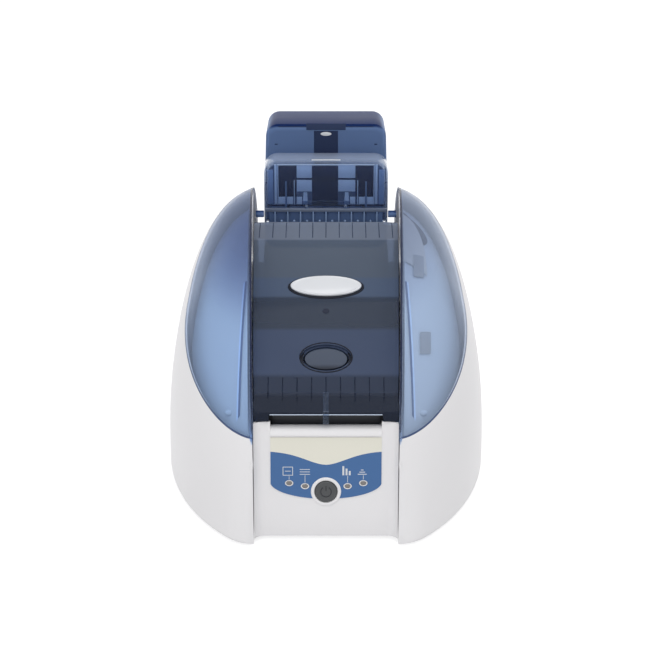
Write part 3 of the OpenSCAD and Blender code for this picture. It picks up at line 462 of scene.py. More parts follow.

# %% [markdown]
# ## The clear plastics of this printer
#
# Both wings let less through towards their crest: painted shade, for the dark gap seen behind
# them. The right one is a paler copy, painted light, because that side is lit more. The hood's
# colour steps in bands from front to back, for the parts under it seen through, with a painted
# sheen towards the back and painted shade towards the front. Painted shade makes the feeder's
# tops darker than its fronts, so its colour follows the way that the faces look.

# %% Clear materials
# Painted shade: what shows through both wings darkens towards the crest, for the dark gap behind.
blue_wing = clear_plastic("blue_wing", srgb(236, 245, 255), srgb(176, 196, 230), 0.12,
                          deepen=("Z", 0.122, 0.170, srgb(182, 192, 216)))
# Painted light: a paler copy of the wing's tint for the right side, which is lit more.
blue_wing_bright = clear_plastic("blue_wing_bright", srgb(242, 248, 255), srgb(190, 206, 234), 0.14,
                                 deepen=("Z", 0.130, 0.175, srgb(216, 222, 234)))
# Bands for the parts seen through the hood, with painted light: a painted sheen lightens them towards the
# back, and deepen adds painted shade towards the front.
hood_parts_and_light_bands = [(16, srgb(50, 58, 76)), (30, srgb(66, 76, 98)), (41, srgb(86, 100, 130)),
              (72, srgb(76, 86, 104)), (98, srgb(102, 118, 145)), (116, srgb(107, 119, 137)),
              (160, srgb(142, 152, 170))]
smoke_hood = clear_plastic("smoke_hood", srgb(166, 177, 196), srgb(106, 120, 146), 0.5, coat=0.0,
                           index=1.22,
                           bands=("Y", front_y + 10 * mm, front_y + 195 * mm,
                                  [(front_y + depth * mm, colour) for depth, colour in hood_parts_and_light_bands]),
                           deepen=("Y", 0.03, -0.12, srgb(116, 126, 150)))
# Painted shade: faces that look upwards take a dark blue in place of the body colour.
feeder_blue = clear_plastic("feeder_blue", srgb(160, 176, 206), srgb(108, 133, 176), 0.6, gloss=0.3,
                            coat=0.0, index=1.08, skin=0.2,
                            fade=("Z", 0.9, 0.5, srgb(12, 40, 94), "Normal"))
rib_shade = clear_plastic("rib_shade", srgb(226, 228, 233), srgb(60, 66, 80), 0.06, coat=0.0,
                          index=1.1, skin=0.1)
feeder_clear = clear_plastic("feeder_clear", srgb(228, 235, 245), srgb(176, 190, 214), 0.035,
                             skin=1.0, power=2.0)
pane_light = clear_plastic("pane_light", srgb(206, 216, 234), srgb(212, 226, 246), 0.9, index=1.2)
latch_dark = clear_plastic("latch_dark", srgb(70, 78, 98), srgb(34, 42, 64), 0.7, gloss=0.12, coat=0.1,
                           index=1.2)
# Painted shade: the button's top darkens towards its front edge.
button_smoke = clear_plastic("button_smoke", srgb(70, 78, 98), srgb(66, 75, 92), 0.95, gloss=0.16,
                             coat=0.0, index=1.25,
                             fade=("Y", front_y + 46.5 * mm, front_y + 50 * mm, srgb(30, 36, 50)))
print("with the clear plastics:", len(bpy.data.materials), "materials")

# %% [markdown]
# ## Finishes on the CAD solids
#
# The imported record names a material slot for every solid. Each slot has a finish of the same
# name, so one loop dresses the whole machine, inside and out, before any piece is replaced.

# %% Every CAD node takes its slot's material
finish_of = {material.name: material for material in bpy.data.materials}
for part in frame["record"]["subparts"]:
    solid = nodes[part["node"]]
    solid.data.materials.clear()
    solid.data.materials.append(finish_of[part["material_slot"]])
print("materials set on", len(nodes), "nodes")

# %% [markdown]
# ## Turning a mesh into a finished piece
#
# Every new piece goes the same way: shape it in bmesh, give it a wall and soft edges, mark the
# edges that stay crisp, and let it ride on the CAD body whose solid it stands for. Modifiers do
# the walls, edges and cuts, and are applied at once, so the mesh is the final shape.

# %% Finish helpers
sharp_angle = math.radians(38)


def piece_from(bm, name, finish):
    bmesh.ops.remove_doubles(bm, verts=bm.verts, dist=0.01 * mm)
    bmesh.ops.recalc_face_normals(bm, faces=bm.faces)
    mesh = bpy.data.meshes.new(name)
    bm.to_mesh(mesh)
    bm.free()
    mesh.materials.append(finish)
    piece = bpy.data.objects.new(name, mesh)
    bpy.context.scene.collection.objects.link(piece)
    return piece


def settle(piece):
    """Applies the piece's modifiers, so that its mesh is the final shape."""
    bpy.context.view_layer.update()
    ready = piece.evaluated_get(bpy.context.evaluated_depsgraph_get())
    mesh = bpy.data.meshes.new_from_object(ready)
    piece.modifiers.clear()
    piece.data = mesh
    return piece


def give_wall(piece, thickness):
    wall = piece.modifiers.new("wall", "SOLIDIFY")
    wall.thickness = thickness
    wall.offset = -1
    wall.solidify_mode = "NON_MANIFOLD"
    wall.nonmanifold_thickness_mode = "FIXED"
    return settle(piece)


def soften(piece, width, segments=2, angle=35):
    edge = piece.modifiers.new("edge", "BEVEL")
    edge.width = width
    edge.segments = segments
    edge.limit_method = "ANGLE"
    edge.angle_limit = math.radians(angle)
    edge.use_clamp_overlap = True
    return settle(piece)


def stands_for(piece, body, slot, *solids):
    """Smooth between its sharp edges, the piece rides on a body and may replace CAD solids."""
    for face in piece.data.polygons:
        face.use_smooth = True
    piece.data.set_sharp_from_angle(angle=sharp_angle)
    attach(piece, body)
    if solids:
        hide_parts(*solids)


print("finish helpers ready")

# %% [markdown]
# ## Blocks, rods and cuts
#
# Many small details are blocks and rods, and openings are cut with the same two shapes. The
# Boolean modifier does the cutting: its exact solver is slower than the fast one, but it leaves
# a closed mesh where faces nearly touch.

# %% Simple shapes and cutters
def box_mesh(bm, low, high):
    """A block between two corners, added to bm; its vertices are returned."""
    made = bmesh.ops.create_cube(bm, size=1)["verts"]
    low, high = Vector(low), Vector(high)
    for vert in made:
        vert.co = Vector(low[i] + (vert.co[i] + 0.5) * (high[i] - low[i]) for i in range(3))
    return made


def rod(bm, radius, x_low, x_high, d, z, segments=40):
    """A rod across the machine, added to bm."""
    made = bmesh.ops.create_cone(bm, cap_ends=True, segments=segments, radius1=radius, radius2=radius,
                                 depth=x_high - x_low, matrix=Matrix.Rotation(math.pi / 2, 4, "Y"))["verts"]
    bmesh.ops.translate(bm, vec=at((x_low + x_high) / 2, d, z), verts=made)


def both_ways(inner, outer):
    """The (low, high) widths of a pair of parts, left and right of the middle."""
    return (-outer, -inner), (inner, outer)


def carve(piece, cutter):
    """Cuts one closed mesh out of another, then throws the cutter away."""
    cut = piece.modifiers.new("cut", "BOOLEAN")
    cut.object = cutter
    cut.operation = "DIFFERENCE"
    cut.solver = "EXACT"
    settle(piece)
    mesh = cutter.data
    bpy.data.objects.remove(cutter)
    bpy.data.meshes.remove(mesh)


def cut_box(piece, low, high):
    bm = bmesh.new()
    box_mesh(bm, low, high)
    carve(piece, piece_from(bm, "box_cutter", piece.data.materials[0]))


def cut_bore(piece, radius, reach, d, z):
    bm = bmesh.new()
    rod(bm, radius, -reach, reach, d, z)
    carve(piece, piece_from(bm, "bore_cutter", piece.data.materials[0]))


print("cutters ready")

# %% [markdown]
# ## The flanks
#
# Each side of the printer bulges like the fender of a car: an ellipse seen from above, another
# seen from the side, and a squarish superellipse across. A modeller could push a subdivided box
# towards that shape by eye. Here the curves are known, so a flat grid is created and each of its
# vertices is moved to its place on them. The lower part is a white shell, the upper part a
# clear blue wing, and the seam between them climbs towards the rear.

# %% Curves of a flank
half_width = 105.6 * mm
crest_height = 171.5 * mm
flank_length = 276 * mm
foot_height = 2 * mm
widest_depth, width_fall_front, width_fall_rear = 119.5 * mm, 141.4 * mm, 221.5 * mm
crest_depth, crest_fall_front, crest_fall_rear = 165 * mm, 190 * mm, 158 * mm
across_power, up_power, fullness = 3.17, 2.67, 0.8
square_start, square_run = 120 * mm, 80 * mm
gap_front, gap_rear, gap_run = 45.2 * mm, 50.2 * mm, 190 * mm
nose_round, foot_round = 6 * mm, 3 * mm
lean, lean_reach = math.radians(10), 120 * mm
seam_height, seam_rise, seam_start, seam_bend = 67.5 * mm, 0.485, 18 * mm, 10 * mm
sheet_wall = 1.6 * mm


def ellipse(d, centre, front, rear):
    share = (centre - d) / front if d < centre else (d - centre) / rear
    return math.sqrt(max(0, 1 - share * share))


def gap_half(d):
    """Half the gap between the flanks, where the hood and the feeder stand."""
    return gap_front + (gap_rear - gap_front) * min(1, max(0, d) / gap_run)


def end_round(d, inset):
    """How far the section shrinks at a depth, to round the flank's two ends."""
    a = min(d, flank_length - d) - inset
    return nose_round - math.sqrt(nose_round ** 2 - (nose_round - a) ** 2) if a < nose_round else 0


def leaned(d, z):
    """The nose leans back as it rises, and the lean dies out towards the rear."""
    return d + math.tan(lean) * (z - foot_height) * max(0, 1 - d / lean_reach) ** 2


def seam_at(d):
    """The seam's height: level at the front, then climbing, with a soft bend between."""
    past = d - seam_start
    return seam_height + seam_rise * (math.sqrt(past ** 2 + seam_bend ** 2) + past) / 2


print("seam from", round(seam_at(0) / mm, 1), "mm at the front to", round(seam_at(gap_run) / mm, 1), "mm")

# %% [markdown]
# ## One section of a flank
#
# All sheets of a flank, from the white shell to the line along the seam, lie on the same
# section. So the section is an object of its own: it knows its width, height and gap at one
# depth, and gives the point at any turn round it. Every piece that asks it fits the others.

# %% The section at one depth
class Ring:
    """The section of a flank at one depth, set in from its skin and from the gap."""

    def __init__(self, d, inset=0.0, side_inset=0.0, drop=0.0):
        trim = inset + end_round(d, inset)
        self.d = d
        self.w = half_width * ellipse(d, widest_depth, width_fall_front, width_fall_rear) - trim
        self.h = crest_height * ellipse(d, crest_depth, crest_fall_front, crest_fall_rear) - trim - drop
        self.inner = gap_half(d) + side_inset
        self.power = across_power + fullness * min(1, max(0, (d - square_start) / square_run))
        self.top = self.turn_of_width(self.inner)

    def turn_of_width(self, x):
        return math.acos(min(1, (x / self.w)) ** (self.power / 2))

    def turn_of_height(self, z):
        return math.asin(min(1, max(0, z / self.h)) ** (up_power / 2))

    def skin(self, turn):
        x = self.w * math.cos(turn) ** (2 / self.power)
        return max(x, self.inner), self.h * math.sin(turn) ** (2 / up_power)

    def crest(self):
        return self.skin(self.top)[1]

    def seam(self, lift=0.0):
        """The seam's height here. The lean moves it, so it is found in a few rounds."""
        z = seam_height
        for _ in range(6):
            z = min(seam_at(leaned(self.d, z)) + lift, self.crest())
        return z

    def place(self, x, z):
        y = leaned(self.d, z)
        return at(gap_half(y) + self.inner - gap_half(self.d) if x <= self.inner else x, y, z)


middle_ring = Ring(widest_depth)
print("flank: half width", round(middle_ring.w / mm, 1), "mm, crest",
      round(middle_ring.crest() / mm, 1), "mm")

# %% [markdown]
# ## A sheet round the flank
#
# A sheet is a grid whose rows go along the flank and whose columns go round its section. Rows
# lie closer together at both ends, where the curve is tight. The open loop at each end is closed
# with one face. The other side of the printer is always a mirrored copy, with its faces turned
# back, because a negative scale turns them inside out.

# %% Sheets of a flank and their mirrored copies
def flank_sheet(name, finish, along, around, section, first, last, inset=0.0, side_inset=0.0, drop=0.0):
    """Bends a grid round the flank from depth first to last. section(ring, share) gives (x, z)."""
    bm = bmesh.new()
    bmesh.ops.create_grid(bm, x_segments=along, y_segments=around, size=0.5)
    rings = {}
    ends = {0: [], 1: []}
    for vert in bm.verts:
        u, v = vert.co.x + 0.5, vert.co.y + 0.5
        key = round(u * along)
        if key not in rings:
            rings[key] = Ring(first + (last - first) * (1 - math.cos(math.pi * key / along)) / 2,
                              inset, side_inset, drop)
        if key in (0, along):
            ends[key // along].append((v, vert))
        vert.co = rings[key].place(*section(rings[key], v))
    for end in ends.values():
        rim = [vert for _, vert in sorted(end, key=lambda pair: pair[0])]
        loop = [edge for edge in bm.edges if edge.verts[0] in rim and edge.verts[1] in rim]
        closing = bmesh.ops.contextual_create(bm, geom=[rim[0], rim[-1]])["edges"]
        bmesh.ops.contextual_create(bm, geom=loop + closing)
    return piece_from(bm, name, finish)


def mirrored_copy(piece, name):
    bm = bmesh.new()
    bm.from_mesh(piece.data)
    bmesh.ops.scale(bm, vec=(-1, 1, 1), verts=bm.verts)
    bmesh.ops.reverse_faces(bm, faces=bm.faces)
    mesh = bpy.data.meshes.new(name)
    bm.to_mesh(mesh)
    bm.free()
    for finish in piece.data.materials:
        mesh.materials.append(finish)
    twin = bpy.data.objects.new(name, mesh)
    bpy.context.scene.collection.objects.link(twin)
    return twin


def both_sides(piece, body, slot, solid):
    """piece is the right-hand one; solid is the CAD node's name without its side."""
    twin = mirrored_copy(piece, piece.name.replace("right", "left"))
    stands_for(piece, body, slot, "right_" + solid)
    stands_for(twin, body, slot, "left_" + solid)


def depth_where(holds, inset=0.0, side_inset=0.0, drop=0.0):
    """The last depth at which holds(ring) is true, found by halving."""
    low, high = 150 * mm, flank_length - inset
    for _ in range(30):
        middle_depth = (low + high) / 2
        ring = Ring(middle_depth, inset, side_inset, drop)
        low, high = (middle_depth, high) if holds(ring) else (low, middle_depth)
    return middle_depth


print("sheet helpers ready")

# %% [markdown]
# ## The white shells
#
# A shell runs from the seam down the skin, round the foot, along the floor and up the side of
# the gap. Its section is given in four shares of the grid's columns, one for each of these runs.

# %% White shells
skin_end, foot_end, floor_end = 0.6, 0.7, 0.8
shell_edge = 0.5 * mm


def shell_section(ring, share):
    high = ring.seam()
    start, foot = ring.turn_of_height(high), ring.turn_of_height(foot_height + foot_round)
    side = max(ring.inner + 1.5 * mm, ring.w)
    if share < skin_end:
        return ring.skin(start + (foot - start) * share / skin_end)
    if share < foot_end:
        turn = math.radians(90 * (share - skin_end) / (foot_end - skin_end))
        return (side - foot_round * (1 - math.cos(turn)),
                foot_height + foot_round * (1 - math.sin(turn)))
    if share < floor_end:
        start = side - foot_round
        return start + (ring.inner - start) * (share - foot_end) / (floor_end - foot_end), foot_height
    return ring.inner, foot_height + (high - foot_height) * (share - floor_end) / (1 - floor_end)


shell = flank_sheet("right_shell", white_case, 80, 60, shell_section, 0, flank_length)
soften(give_wall(shell, sheet_wall), shell_edge)
both_sides(shell, "frame", "white_case", "side_shell")
print("white shells:", len(shell.data.polygons), "faces each")

# %% [markdown]
# ## The clear wings
#
# A wing goes from the seam up over the crest and down the side of the gap, back to the seam's
# height. It ends where the climbing seam reaches the crest. The right side is lit more, so the
# right wing gets the paler of the two tints, painted light, after its twin is made.

# %% Clear wings
over_share, least_rise = 0.8, 1.5 * mm


def wing_section(lift=0.0):
    def section(ring, share):
        low = ring.seam(lift)
        if share < over_share:
            start = ring.turn_of_height(low)
            return ring.skin(start + (ring.top - start) * share / over_share)
        return ring.inner, ring.crest() + (low - ring.crest()) * (share - over_share) / (1 - over_share)
    return section


wing_tip = depth_where(lambda ring: ring.crest() - ring.seam() > least_rise)
wing = flank_sheet("right_wing", blue_wing, 72, 50, wing_section(), 0, wing_tip)
soften(give_wall(wing, sheet_wall), shell_edge)
both_sides(wing, "frame", "blue_wing", "wing_cover")
# Painted light: the right wing takes the paler tint.
wing.data.materials[0] = blue_wing_bright
print("blue wings:", len(wing.data.polygons), "faces each, up to", round(wing_tip / mm), "mm")

# %% [markdown]
# ## The wings' navy rims
#
# Along the hood the wing's edge is so thick, seen from the front, that its dye turns navy. A
# strip of skin just proud of the wing carries that colour, down its inner side and a little way
# over the crest.

# %% Navy rims
rim_proud, rim_down, rim_over = 0.06 * mm, 4 * mm, 1.3 * mm
rim_start, rim_short = 4 * mm, 1 * mm
wing_navy = moulded("wing_navy", srgb(24, 33, 62), clouds=0.1, gloss=0.2, index=1.3)


def rim_section(ring, share):
    """Down the side that faces the hood, and a little way over the crest."""
    if share < 0.5:
        return ring.inner, max(ring.seam(), ring.crest() - rim_down * (1 - 2 * share))
    return ring.skin(ring.turn_of_width(ring.inner + rim_over * (2 * share - 1)))


rim_line = flank_sheet("right_wing_rim", wing_navy, 72, 6, rim_section, rim_start, wing_tip - rim_short,
                       -rim_proud, -rim_proud)
stands_for(rim_line, "frame", "blue_wing")
stands_for(mirrored_copy(rim_line, "left_wing_rim"), "frame", "blue_wing")
print("navy rims:", len(rim_line.data.polygons), "faces each")

# %% [markdown]
# ## The white housings inside the wings
#
# Behind each clear wing stands a white inner housing. It follows the same curves, set in by a
# few millimetres, and it ends a little below the seam, so no gap shows from above.

# %% Inner housings
housing_inset, housing_side, housing_drop, housing_lap = 7.4 * mm, 2.7 * mm, 6 * mm, 16 * mm
insets = housing_inset, housing_side, housing_drop

housing_tail = depth_where(lambda ring: ring.crest() - ring.seam(-housing_lap) > least_rise, *insets)
housing = flank_sheet("right_housing", inner_white, 64, 40, wing_section(-housing_lap), housing_inset,
                      housing_tail, *insets)
soften(give_wall(housing, sheet_wall), 0.6 * mm)
both_sides(housing, "frame", "inner_white", "inner_housing")
print("inner housings end", round(housing_tail / mm), "mm from the front")

# %% [markdown]
# ## The hood
#
# The hood is a bowed sheet with skirts turned down at its edges, a round-nosed well with an oval
# hole for the button, ribs under its skin and two knuckles on the hinge pin. The sheet is a grid
# laid on a large circle whose axis runs across the printer; its border is extruded towards the
# axis to make the skirts. First come that circle and the ways to place things on it.

# %% Curve of the hood
hood_front, hood_back = (20 * mm, 84.5 * mm), (188.5 * mm, 142.5 * mm)
hood_bulge, hood_side_gap, hood_skirt, hood_wall = 15 * mm, 0.8 * mm, 12 * mm, 2.5 * mm
chord = math.dist(hood_front, hood_back)
hood_radius = (chord ** 2 / 4 + hood_bulge ** 2) / (2 * hood_bulge)
chord_turn = math.atan2(hood_back[1] - hood_front[1], hood_back[0] - hood_front[0])
hood_centre = ((hood_front[0] + hood_back[0]) / 2 + (hood_radius - hood_bulge) * math.sin(chord_turn),
               (hood_front[1] + hood_back[1]) / 2 - (hood_radius - hood_bulge) * math.cos(chord_turn))


def hood_height(d):
    return hood_centre[1] + math.sqrt(hood_radius ** 2 - (d - hood_centre[0]) ** 2)


def hood_turn(d):
    """The slope of the hood at a depth, in radians."""
    return math.asin((hood_centre[0] - d) / hood_radius)


def on_hood(x, run, rise, d):
    """run metres up the skin from the depth d, and rise metres out of it."""
    turn = hood_turn(d) - run / hood_radius
    reach = hood_radius + rise
    return at(x, hood_centre[0] - reach * math.sin(turn), hood_centre[1] + reach * math.cos(turn))


def square_to_hood(flat, d):
    """A point drawn flat, turned as one to stand square on the hood at depth d, without bending."""
    turn = hood_turn(d)
    return at(flat.x, d + flat.y * math.cos(turn) - flat.z * math.sin(turn),
              hood_height(d) + flat.y * math.sin(turn) + flat.z * math.cos(turn))


def lay_on_hood(bm, d):
    """A mesh drawn flat, x across and y up the slope, is laid on the curved skin at depth d."""
    for vert in bm.verts:
        vert.co = on_hood(vert.co.x, vert.co.y, vert.co.z, d)


print("hood radius", round(hood_radius / mm, 1), "mm")

# %% [markdown]
# ## The hood's skin
#
# The grid gets its skirts, a bevel along its rim and a wall. The card exit is cut out of its
# front. A real well and a real hole are cut for the button too, because the button sinks into
# them and a painted ring would give that away.

# %% Skin with its button well
latch_depth, latch_half, latch_squash = 52.5 * mm, 14 * mm, 0.62
latch_room, cut_reach = 0.4 * mm, 8 * mm
well_depth, well_lip = 1.8 * mm, 2 * mm
exit_cut, side_cut, exit_half, exit_back = 82.8 * mm, 78.25 * mm, 35.4 * mm, 36.4 * mm


def oval_prism(half, low, high, d, name, squash=latch_squash, finish=smoke_hood, segments=72):
    """A straight oval plug through the hood's skin at depth d."""
    bm = bmesh.new()
    bmesh.ops.create_cone(bm, cap_ends=True, segments=segments, radius1=half, radius2=half,
                          depth=high - low)
    for vert in bm.verts:
        vert.co = square_to_hood(Vector((vert.co.x, vert.co.y * squash, vert.co.z + (high + low) / 2)), d)
    return piece_from(bm, name, finish)


def hood_skin():
    bm = bmesh.new()
    bmesh.ops.create_grid(bm, x_segments=12, y_segments=72, size=0.5)
    turns = hood_turn(hood_front[0]), hood_turn(hood_back[0])
    for vert in bm.verts:
        turn = turns[0] + (turns[1] - turns[0]) * (vert.co.y + 0.5)
        d = hood_centre[0] - hood_radius * math.sin(turn)
        vert.co = at(2 * vert.co.x * (gap_half(d) - hood_side_gap), d, hood_height(d))
    rim = [edge for edge in bm.edges if edge.is_boundary]
    skirt = bmesh.ops.extrude_edge_only(bm, edges=rim)["geom"]
    axis = at(0, *hood_centre)
    for vert in (part for part in skirt if isinstance(part, bmesh.types.BMVert)):
        inward = ((axis - vert.co) * Vector((0, 1, 1))).normalized() * hood_skirt
        at_front = vert.co.y < front_y + hood_front[0] + 0.5 * mm
        vert.co += Vector((0, 0, inward.z)) if at_front else inward
    bmesh.ops.bevel(bm, geom=rim, offset=1.4 * mm, segments=3, profile=0.5, affect="EDGES", material=-1)
    bmesh.ops.bisect_plane(bm, geom=bm.verts[:] + bm.edges[:] + bm.faces[:], clear_inner=True,
                           plane_co=at(0, 0, side_cut), plane_no=(0, 0, 1))
    return piece_from(bm, "hood_skin", smoke_hood)


hood = give_wall(hood_skin(), hood_wall)
cut_box(hood, at(-exit_half, 0, 60 * mm), at(exit_half, exit_back, exit_cut))
soften(hood, 0.4 * mm)
carve(hood, oval_prism(latch_half + well_lip, -well_depth, cut_reach, latch_depth, "well_cutter"))
carve(hood, oval_prism(latch_half + latch_room, -cut_reach, cut_reach, latch_depth, "hole_cutter"))
print("hood skin:", len(hood.data.polygons), "faces")

# %% [markdown]
# ## Under the hood
#
# Short ribs stiffen both ends of the skin, a raised collar guides the button, two cheeks carry
# the latch hook's rod, and two knuckles hold the hinge pin. Blocks are bent onto the skin point
# by point. One knuckle is modelled and mirrored, and the pin's bore is drilled through both.

# %% Ribs, cheeks, knuckles and collar
rib_pitch, rib_half, rib_deep, rib_run = 9 * mm, 0.5 * mm, 2.4 * mm, 20 * mm
hinge_depth, hinge_height, pin_radius, knuckle_radius = 195 * mm, 137 * mm, 2 * mm, 5 * mm
knuckle_low, knuckle_high = 44.2 * mm, 49 * mm
cheek_low, cheek_high = 7 * mm, 9 * mm
hook_depth = latch_depth - 1 * mm
hook_height = hood_height(hook_depth) - 14 * mm


def add_ribs(bm):
    for d in (hood_back[0] - rib_run, hood_front[0] + 1.5 * mm):
        for count in range(-4, 5):
            rib = box_mesh(bm, (count * rib_pitch - rib_half, 0, -hood_wall - rib_deep),
                           (count * rib_pitch + rib_half, rib_run, -hood_wall + 0.2 * mm))
            for vert in rib:
                vert.co = on_hood(vert.co.x, vert.co.y, vert.co.z, d)


def add_knuckles(bm):
    knuckle = bmesh.new()
    rod(knuckle, knuckle_radius, knuckle_low, knuckle_high, hinge_depth, hinge_height)
    box_mesh(knuckle, at(knuckle_low, hood_back[0] - 2 * mm, hinge_height - 4 * mm),
             at(knuckle_high, hinge_depth - 1 * mm, hinge_height + 3 * mm))
    bmesh.ops.mirror(knuckle, geom=knuckle.verts[:] + knuckle.edges[:] + knuckle.faces[:], axis="X",
                     merge_dist=0)
    mesh = bpy.data.meshes.new("knuckles")
    knuckle.to_mesh(mesh)
    knuckle.free()
    bm.from_mesh(mesh)
    bpy.data.meshes.remove(mesh)


def add_cheeks(bm):
    foot = hook_height - 1.4 * mm
    for low, high in both_ways(cheek_low, cheek_high):
        box_mesh(bm, at(low, hook_depth - 8 * mm, foot),
                 at(high, hook_depth - 3.2 * mm, hood_height(hook_depth - 8 * mm) - 1.5 * mm))
        box_mesh(bm, at(low, hook_depth - 3.4 * mm, foot),
                 at(high, hook_depth + 4 * mm, hook_height + 4.5 * mm))
    rod(bm, 1.2 * mm, -8 * mm, 8 * mm, hook_depth, hook_height, 20)


under_bm = bmesh.new()
add_ribs(under_bm)
add_knuckles(under_bm)
add_cheeks(under_bm)
ribs = soften(piece_from(under_bm, "hood_ribs_and_knuckles", smoke_hood), 0.15 * mm)
cut_bore(ribs, pin_radius + 0.05 * mm, 60 * mm, hinge_depth, hinge_height)
collar = oval_prism(latch_half + 3.6 * mm, -5 * mm, -hood_wall + 0.1 * mm, latch_depth, "button_boss")
carve(collar, oval_prism(latch_half + latch_room, -cut_reach, cut_reach, latch_depth, "collar_cutter"))
soften(collar, 0.3 * mm)
stands_for(hood, "hood", "smoke_hood", "top_cover")
stands_for(ribs, "hood", "smoke_hood")
stands_for(collar, "hood", "smoke_hood")
print("hood detail:", len(ribs.data.polygons) + len(collar.data.polygons), "faces")

# %% [markdown]
# ## The badge
#
# The badge is a pillow-shaped oval with a bright rim. It starts as a disc; insets draw the rings
# of its profile, each ring is lifted, and the whole is bent onto the hood. A squashed ball would
# be quicker, but it has no rim.

# %% Badge
badge_depth, badge_long, badge_short = 107.5 * mm, 23 * mm, 9.5 * mm
badge_profile = [(1.0, 0.0), (1.0, 1.0), (0.985, 1.25), (0.955, 1.42), (0.925, 1.36), (0.905, 1.12),
                 (0.88, 1.05), (0.80, 1.16), (0.65, 1.30), (0.45, 1.42), (0.25, 1.50), (0.08, 1.53)]
pillow_sides = 96


def pillow(rings):
    """A disc with rings at (radius, height), from the rim inwards."""
    bm = bmesh.new()
    bmesh.ops.create_circle(bm, cap_ends=True, segments=pillow_sides, radius=rings[0][0])
    face = bm.faces[:][0]
    for vert in bm.verts:
        vert.co.z = rings[0][1]
    for (outer, _), (inner, high) in zip(rings, rings[1:]):
        made = bmesh.ops.extrude_face_region(bm, geom=[face])["geom"]
        top = [part for part in made if isinstance(part, bmesh.types.BMVert)]
        bmesh.ops.delete(bm, geom=[face], context="FACES_ONLY")
        for vert in top:
            vert.co = Vector((vert.co.x * inner / outer, vert.co.y * inner / outer, high))
        face = next(part for part in made if isinstance(part, bmesh.types.BMFace))
    return bm


def oval_on_hood(profile, long, short, d):
    """An oval pillow on the hood: the profile's radii are shares, its heights millimetres."""
    bm = pillow([(radius, height * mm) for radius, height in profile])
    for vert in bm.verts:
        vert.co.x *= long
        vert.co.y *= short
    lay_on_hood(bm, d)
    return bm


badge_bm = oval_on_hood(badge_profile, badge_long, badge_short, badge_depth)
badge = piece_from(badge_bm, "oval_badge", badge_silver)
stands_for(badge, "hood", "badge_silver", "cover_badge")
print("badge:", len(badge.data.polygons), "faces")

# %% [markdown]
# ## The hood button
#
# The button is a smoked oval with a dished top, low in its well. The same function makes it, and
# a straight stem under it reaches down to the latch hook.

# %% Hood button
button_profile = [(1.0, -4.4), (1.0, -2.0), (0.985, -1.72), (0.95, -1.6), (0.88, -1.5), (0.75, -1.4),
                  (0.55, -1.3), (0.35, -1.24), (0.15, -1.2), (0.05, -1.2)]
button_gap = 0.6 * mm
stem_length, stem_top = 13.46 * mm, 4.3 * mm

button_bm = oval_on_hood(button_profile, latch_half - button_gap, latch_half * latch_squash - button_gap,
                         latch_depth)
for vert in box_mesh(button_bm, (-3 * mm, -2 * mm, -stem_length), (3 * mm, 2 * mm, -stem_top)):
    vert.co = square_to_hood(vert.co.copy(), latch_depth)
button = piece_from(button_bm, "hood_release", button_smoke)
stands_for(button, "hood_button", "latch_dark", "latch_button")
print("hood button:", len(button.data.polygons), "faces")

# %% [markdown]
# ## Pads, rims and lines of the hood
#
# The ribs under the smoked skin show as dark lines, and darker pads lie across the hood under its
# skin. The button sits in a dark ring of painted shade, and the badge in one of painted shadow.
# They could be painted on, but a real edge catches the light. So each is a thin plate: a grid bent
# onto the skin, then extruded straight away from the hood's axis. A rim is the same grid, rolled
# up into an oval ring.

# %% Plates and rings that follow the hood
ring_sides = 96


def plate_on_hood(x0, x1, d, run, low, high, name, finish):
    """A thin plate following the skin, run metres up the slope from depth d."""
    bm = bmesh.new()
    bent = bmesh.ops.create_grid(bm, x_segments=4, y_segments=24, size=0.5)["verts"]
    for vert in bent:
        u, v = vert.co.x + 0.5, vert.co.y + 0.5
        vert.co = on_hood(x0 + (x1 - x0) * u, run * v, low, d)
    raised = bmesh.ops.extrude_face_region(bm, geom=bm.faces[:], use_keep_orig=True)["geom"]
    axis = at(0, *hood_centre)
    for vert in (part for part in raised if isinstance(part, bmesh.types.BMVert)):
        outward = ((vert.co - axis) * Vector((0, 1, 1))).normalized()
        vert.co += outward * (high - low)
    return piece_from(bm, name, finish)


def oval_ring(rows, shorter, d, name, finish):
    """A ring through rows of (half length, height) in millimetres, laid on the hood at depth d.
    Its half width is less than its half length by the millimetres in shorter."""
    bm = bmesh.new()
    last = len(rows) - 1
    for vert in bmesh.ops.create_grid(bm, x_segments=ring_sides, y_segments=last, size=0.5)["verts"]:
        turn = math.tau * (vert.co.x + 0.5)
        half, height = rows[round((vert.co.y + 0.5) * last)]
        vert.co = Vector((half * math.cos(turn), (half - shorter) * math.sin(turn), height)) * mm
    lay_on_hood(bm, d)
    return piece_from(bm, name, finish)


under = -hood_wall - 0.1 * mm
# Dark for the middle and lower pads; for the rims and the crescent it is painted shade and shadow.
deep_dark = moulded("deep_dark", srgb(16, 20, 32), clouds=0.1, gloss=0.35, index=1.2)
pad_smoke = moulded("pad_smoke", srgb(110, 118, 132), clouds=0.1, index=1.2)
pad_thick, frame_thick = 0.8 * mm, 1.6 * mm
shadow_half, shadow_low, shadow_high = 0.3 * mm, 0.01 * mm, 0.05 * mm
pad_rows = [(41.3, 158, -44, 0, "upper_pad", pad_smoke), (43, 98, -28, 0, "middle_pad", deep_dark),
            (42, 38, -15, 2.4, "lower_pad", deep_dark)]
frame_rows = [(-20.5, -19.7, 65, -28), (19.7, 20.5, 65, -28), (-20.5, 20.5, 66, -1), (-20.5, 20.5, 38, -1)]
pads = [plate_on_hood(-half * mm, half * mm, d * mm, run * mm, under - drop * mm - pad_thick,
                      under - drop * mm, name, finish)
        for half, d, run, drop, name, finish in pad_rows]
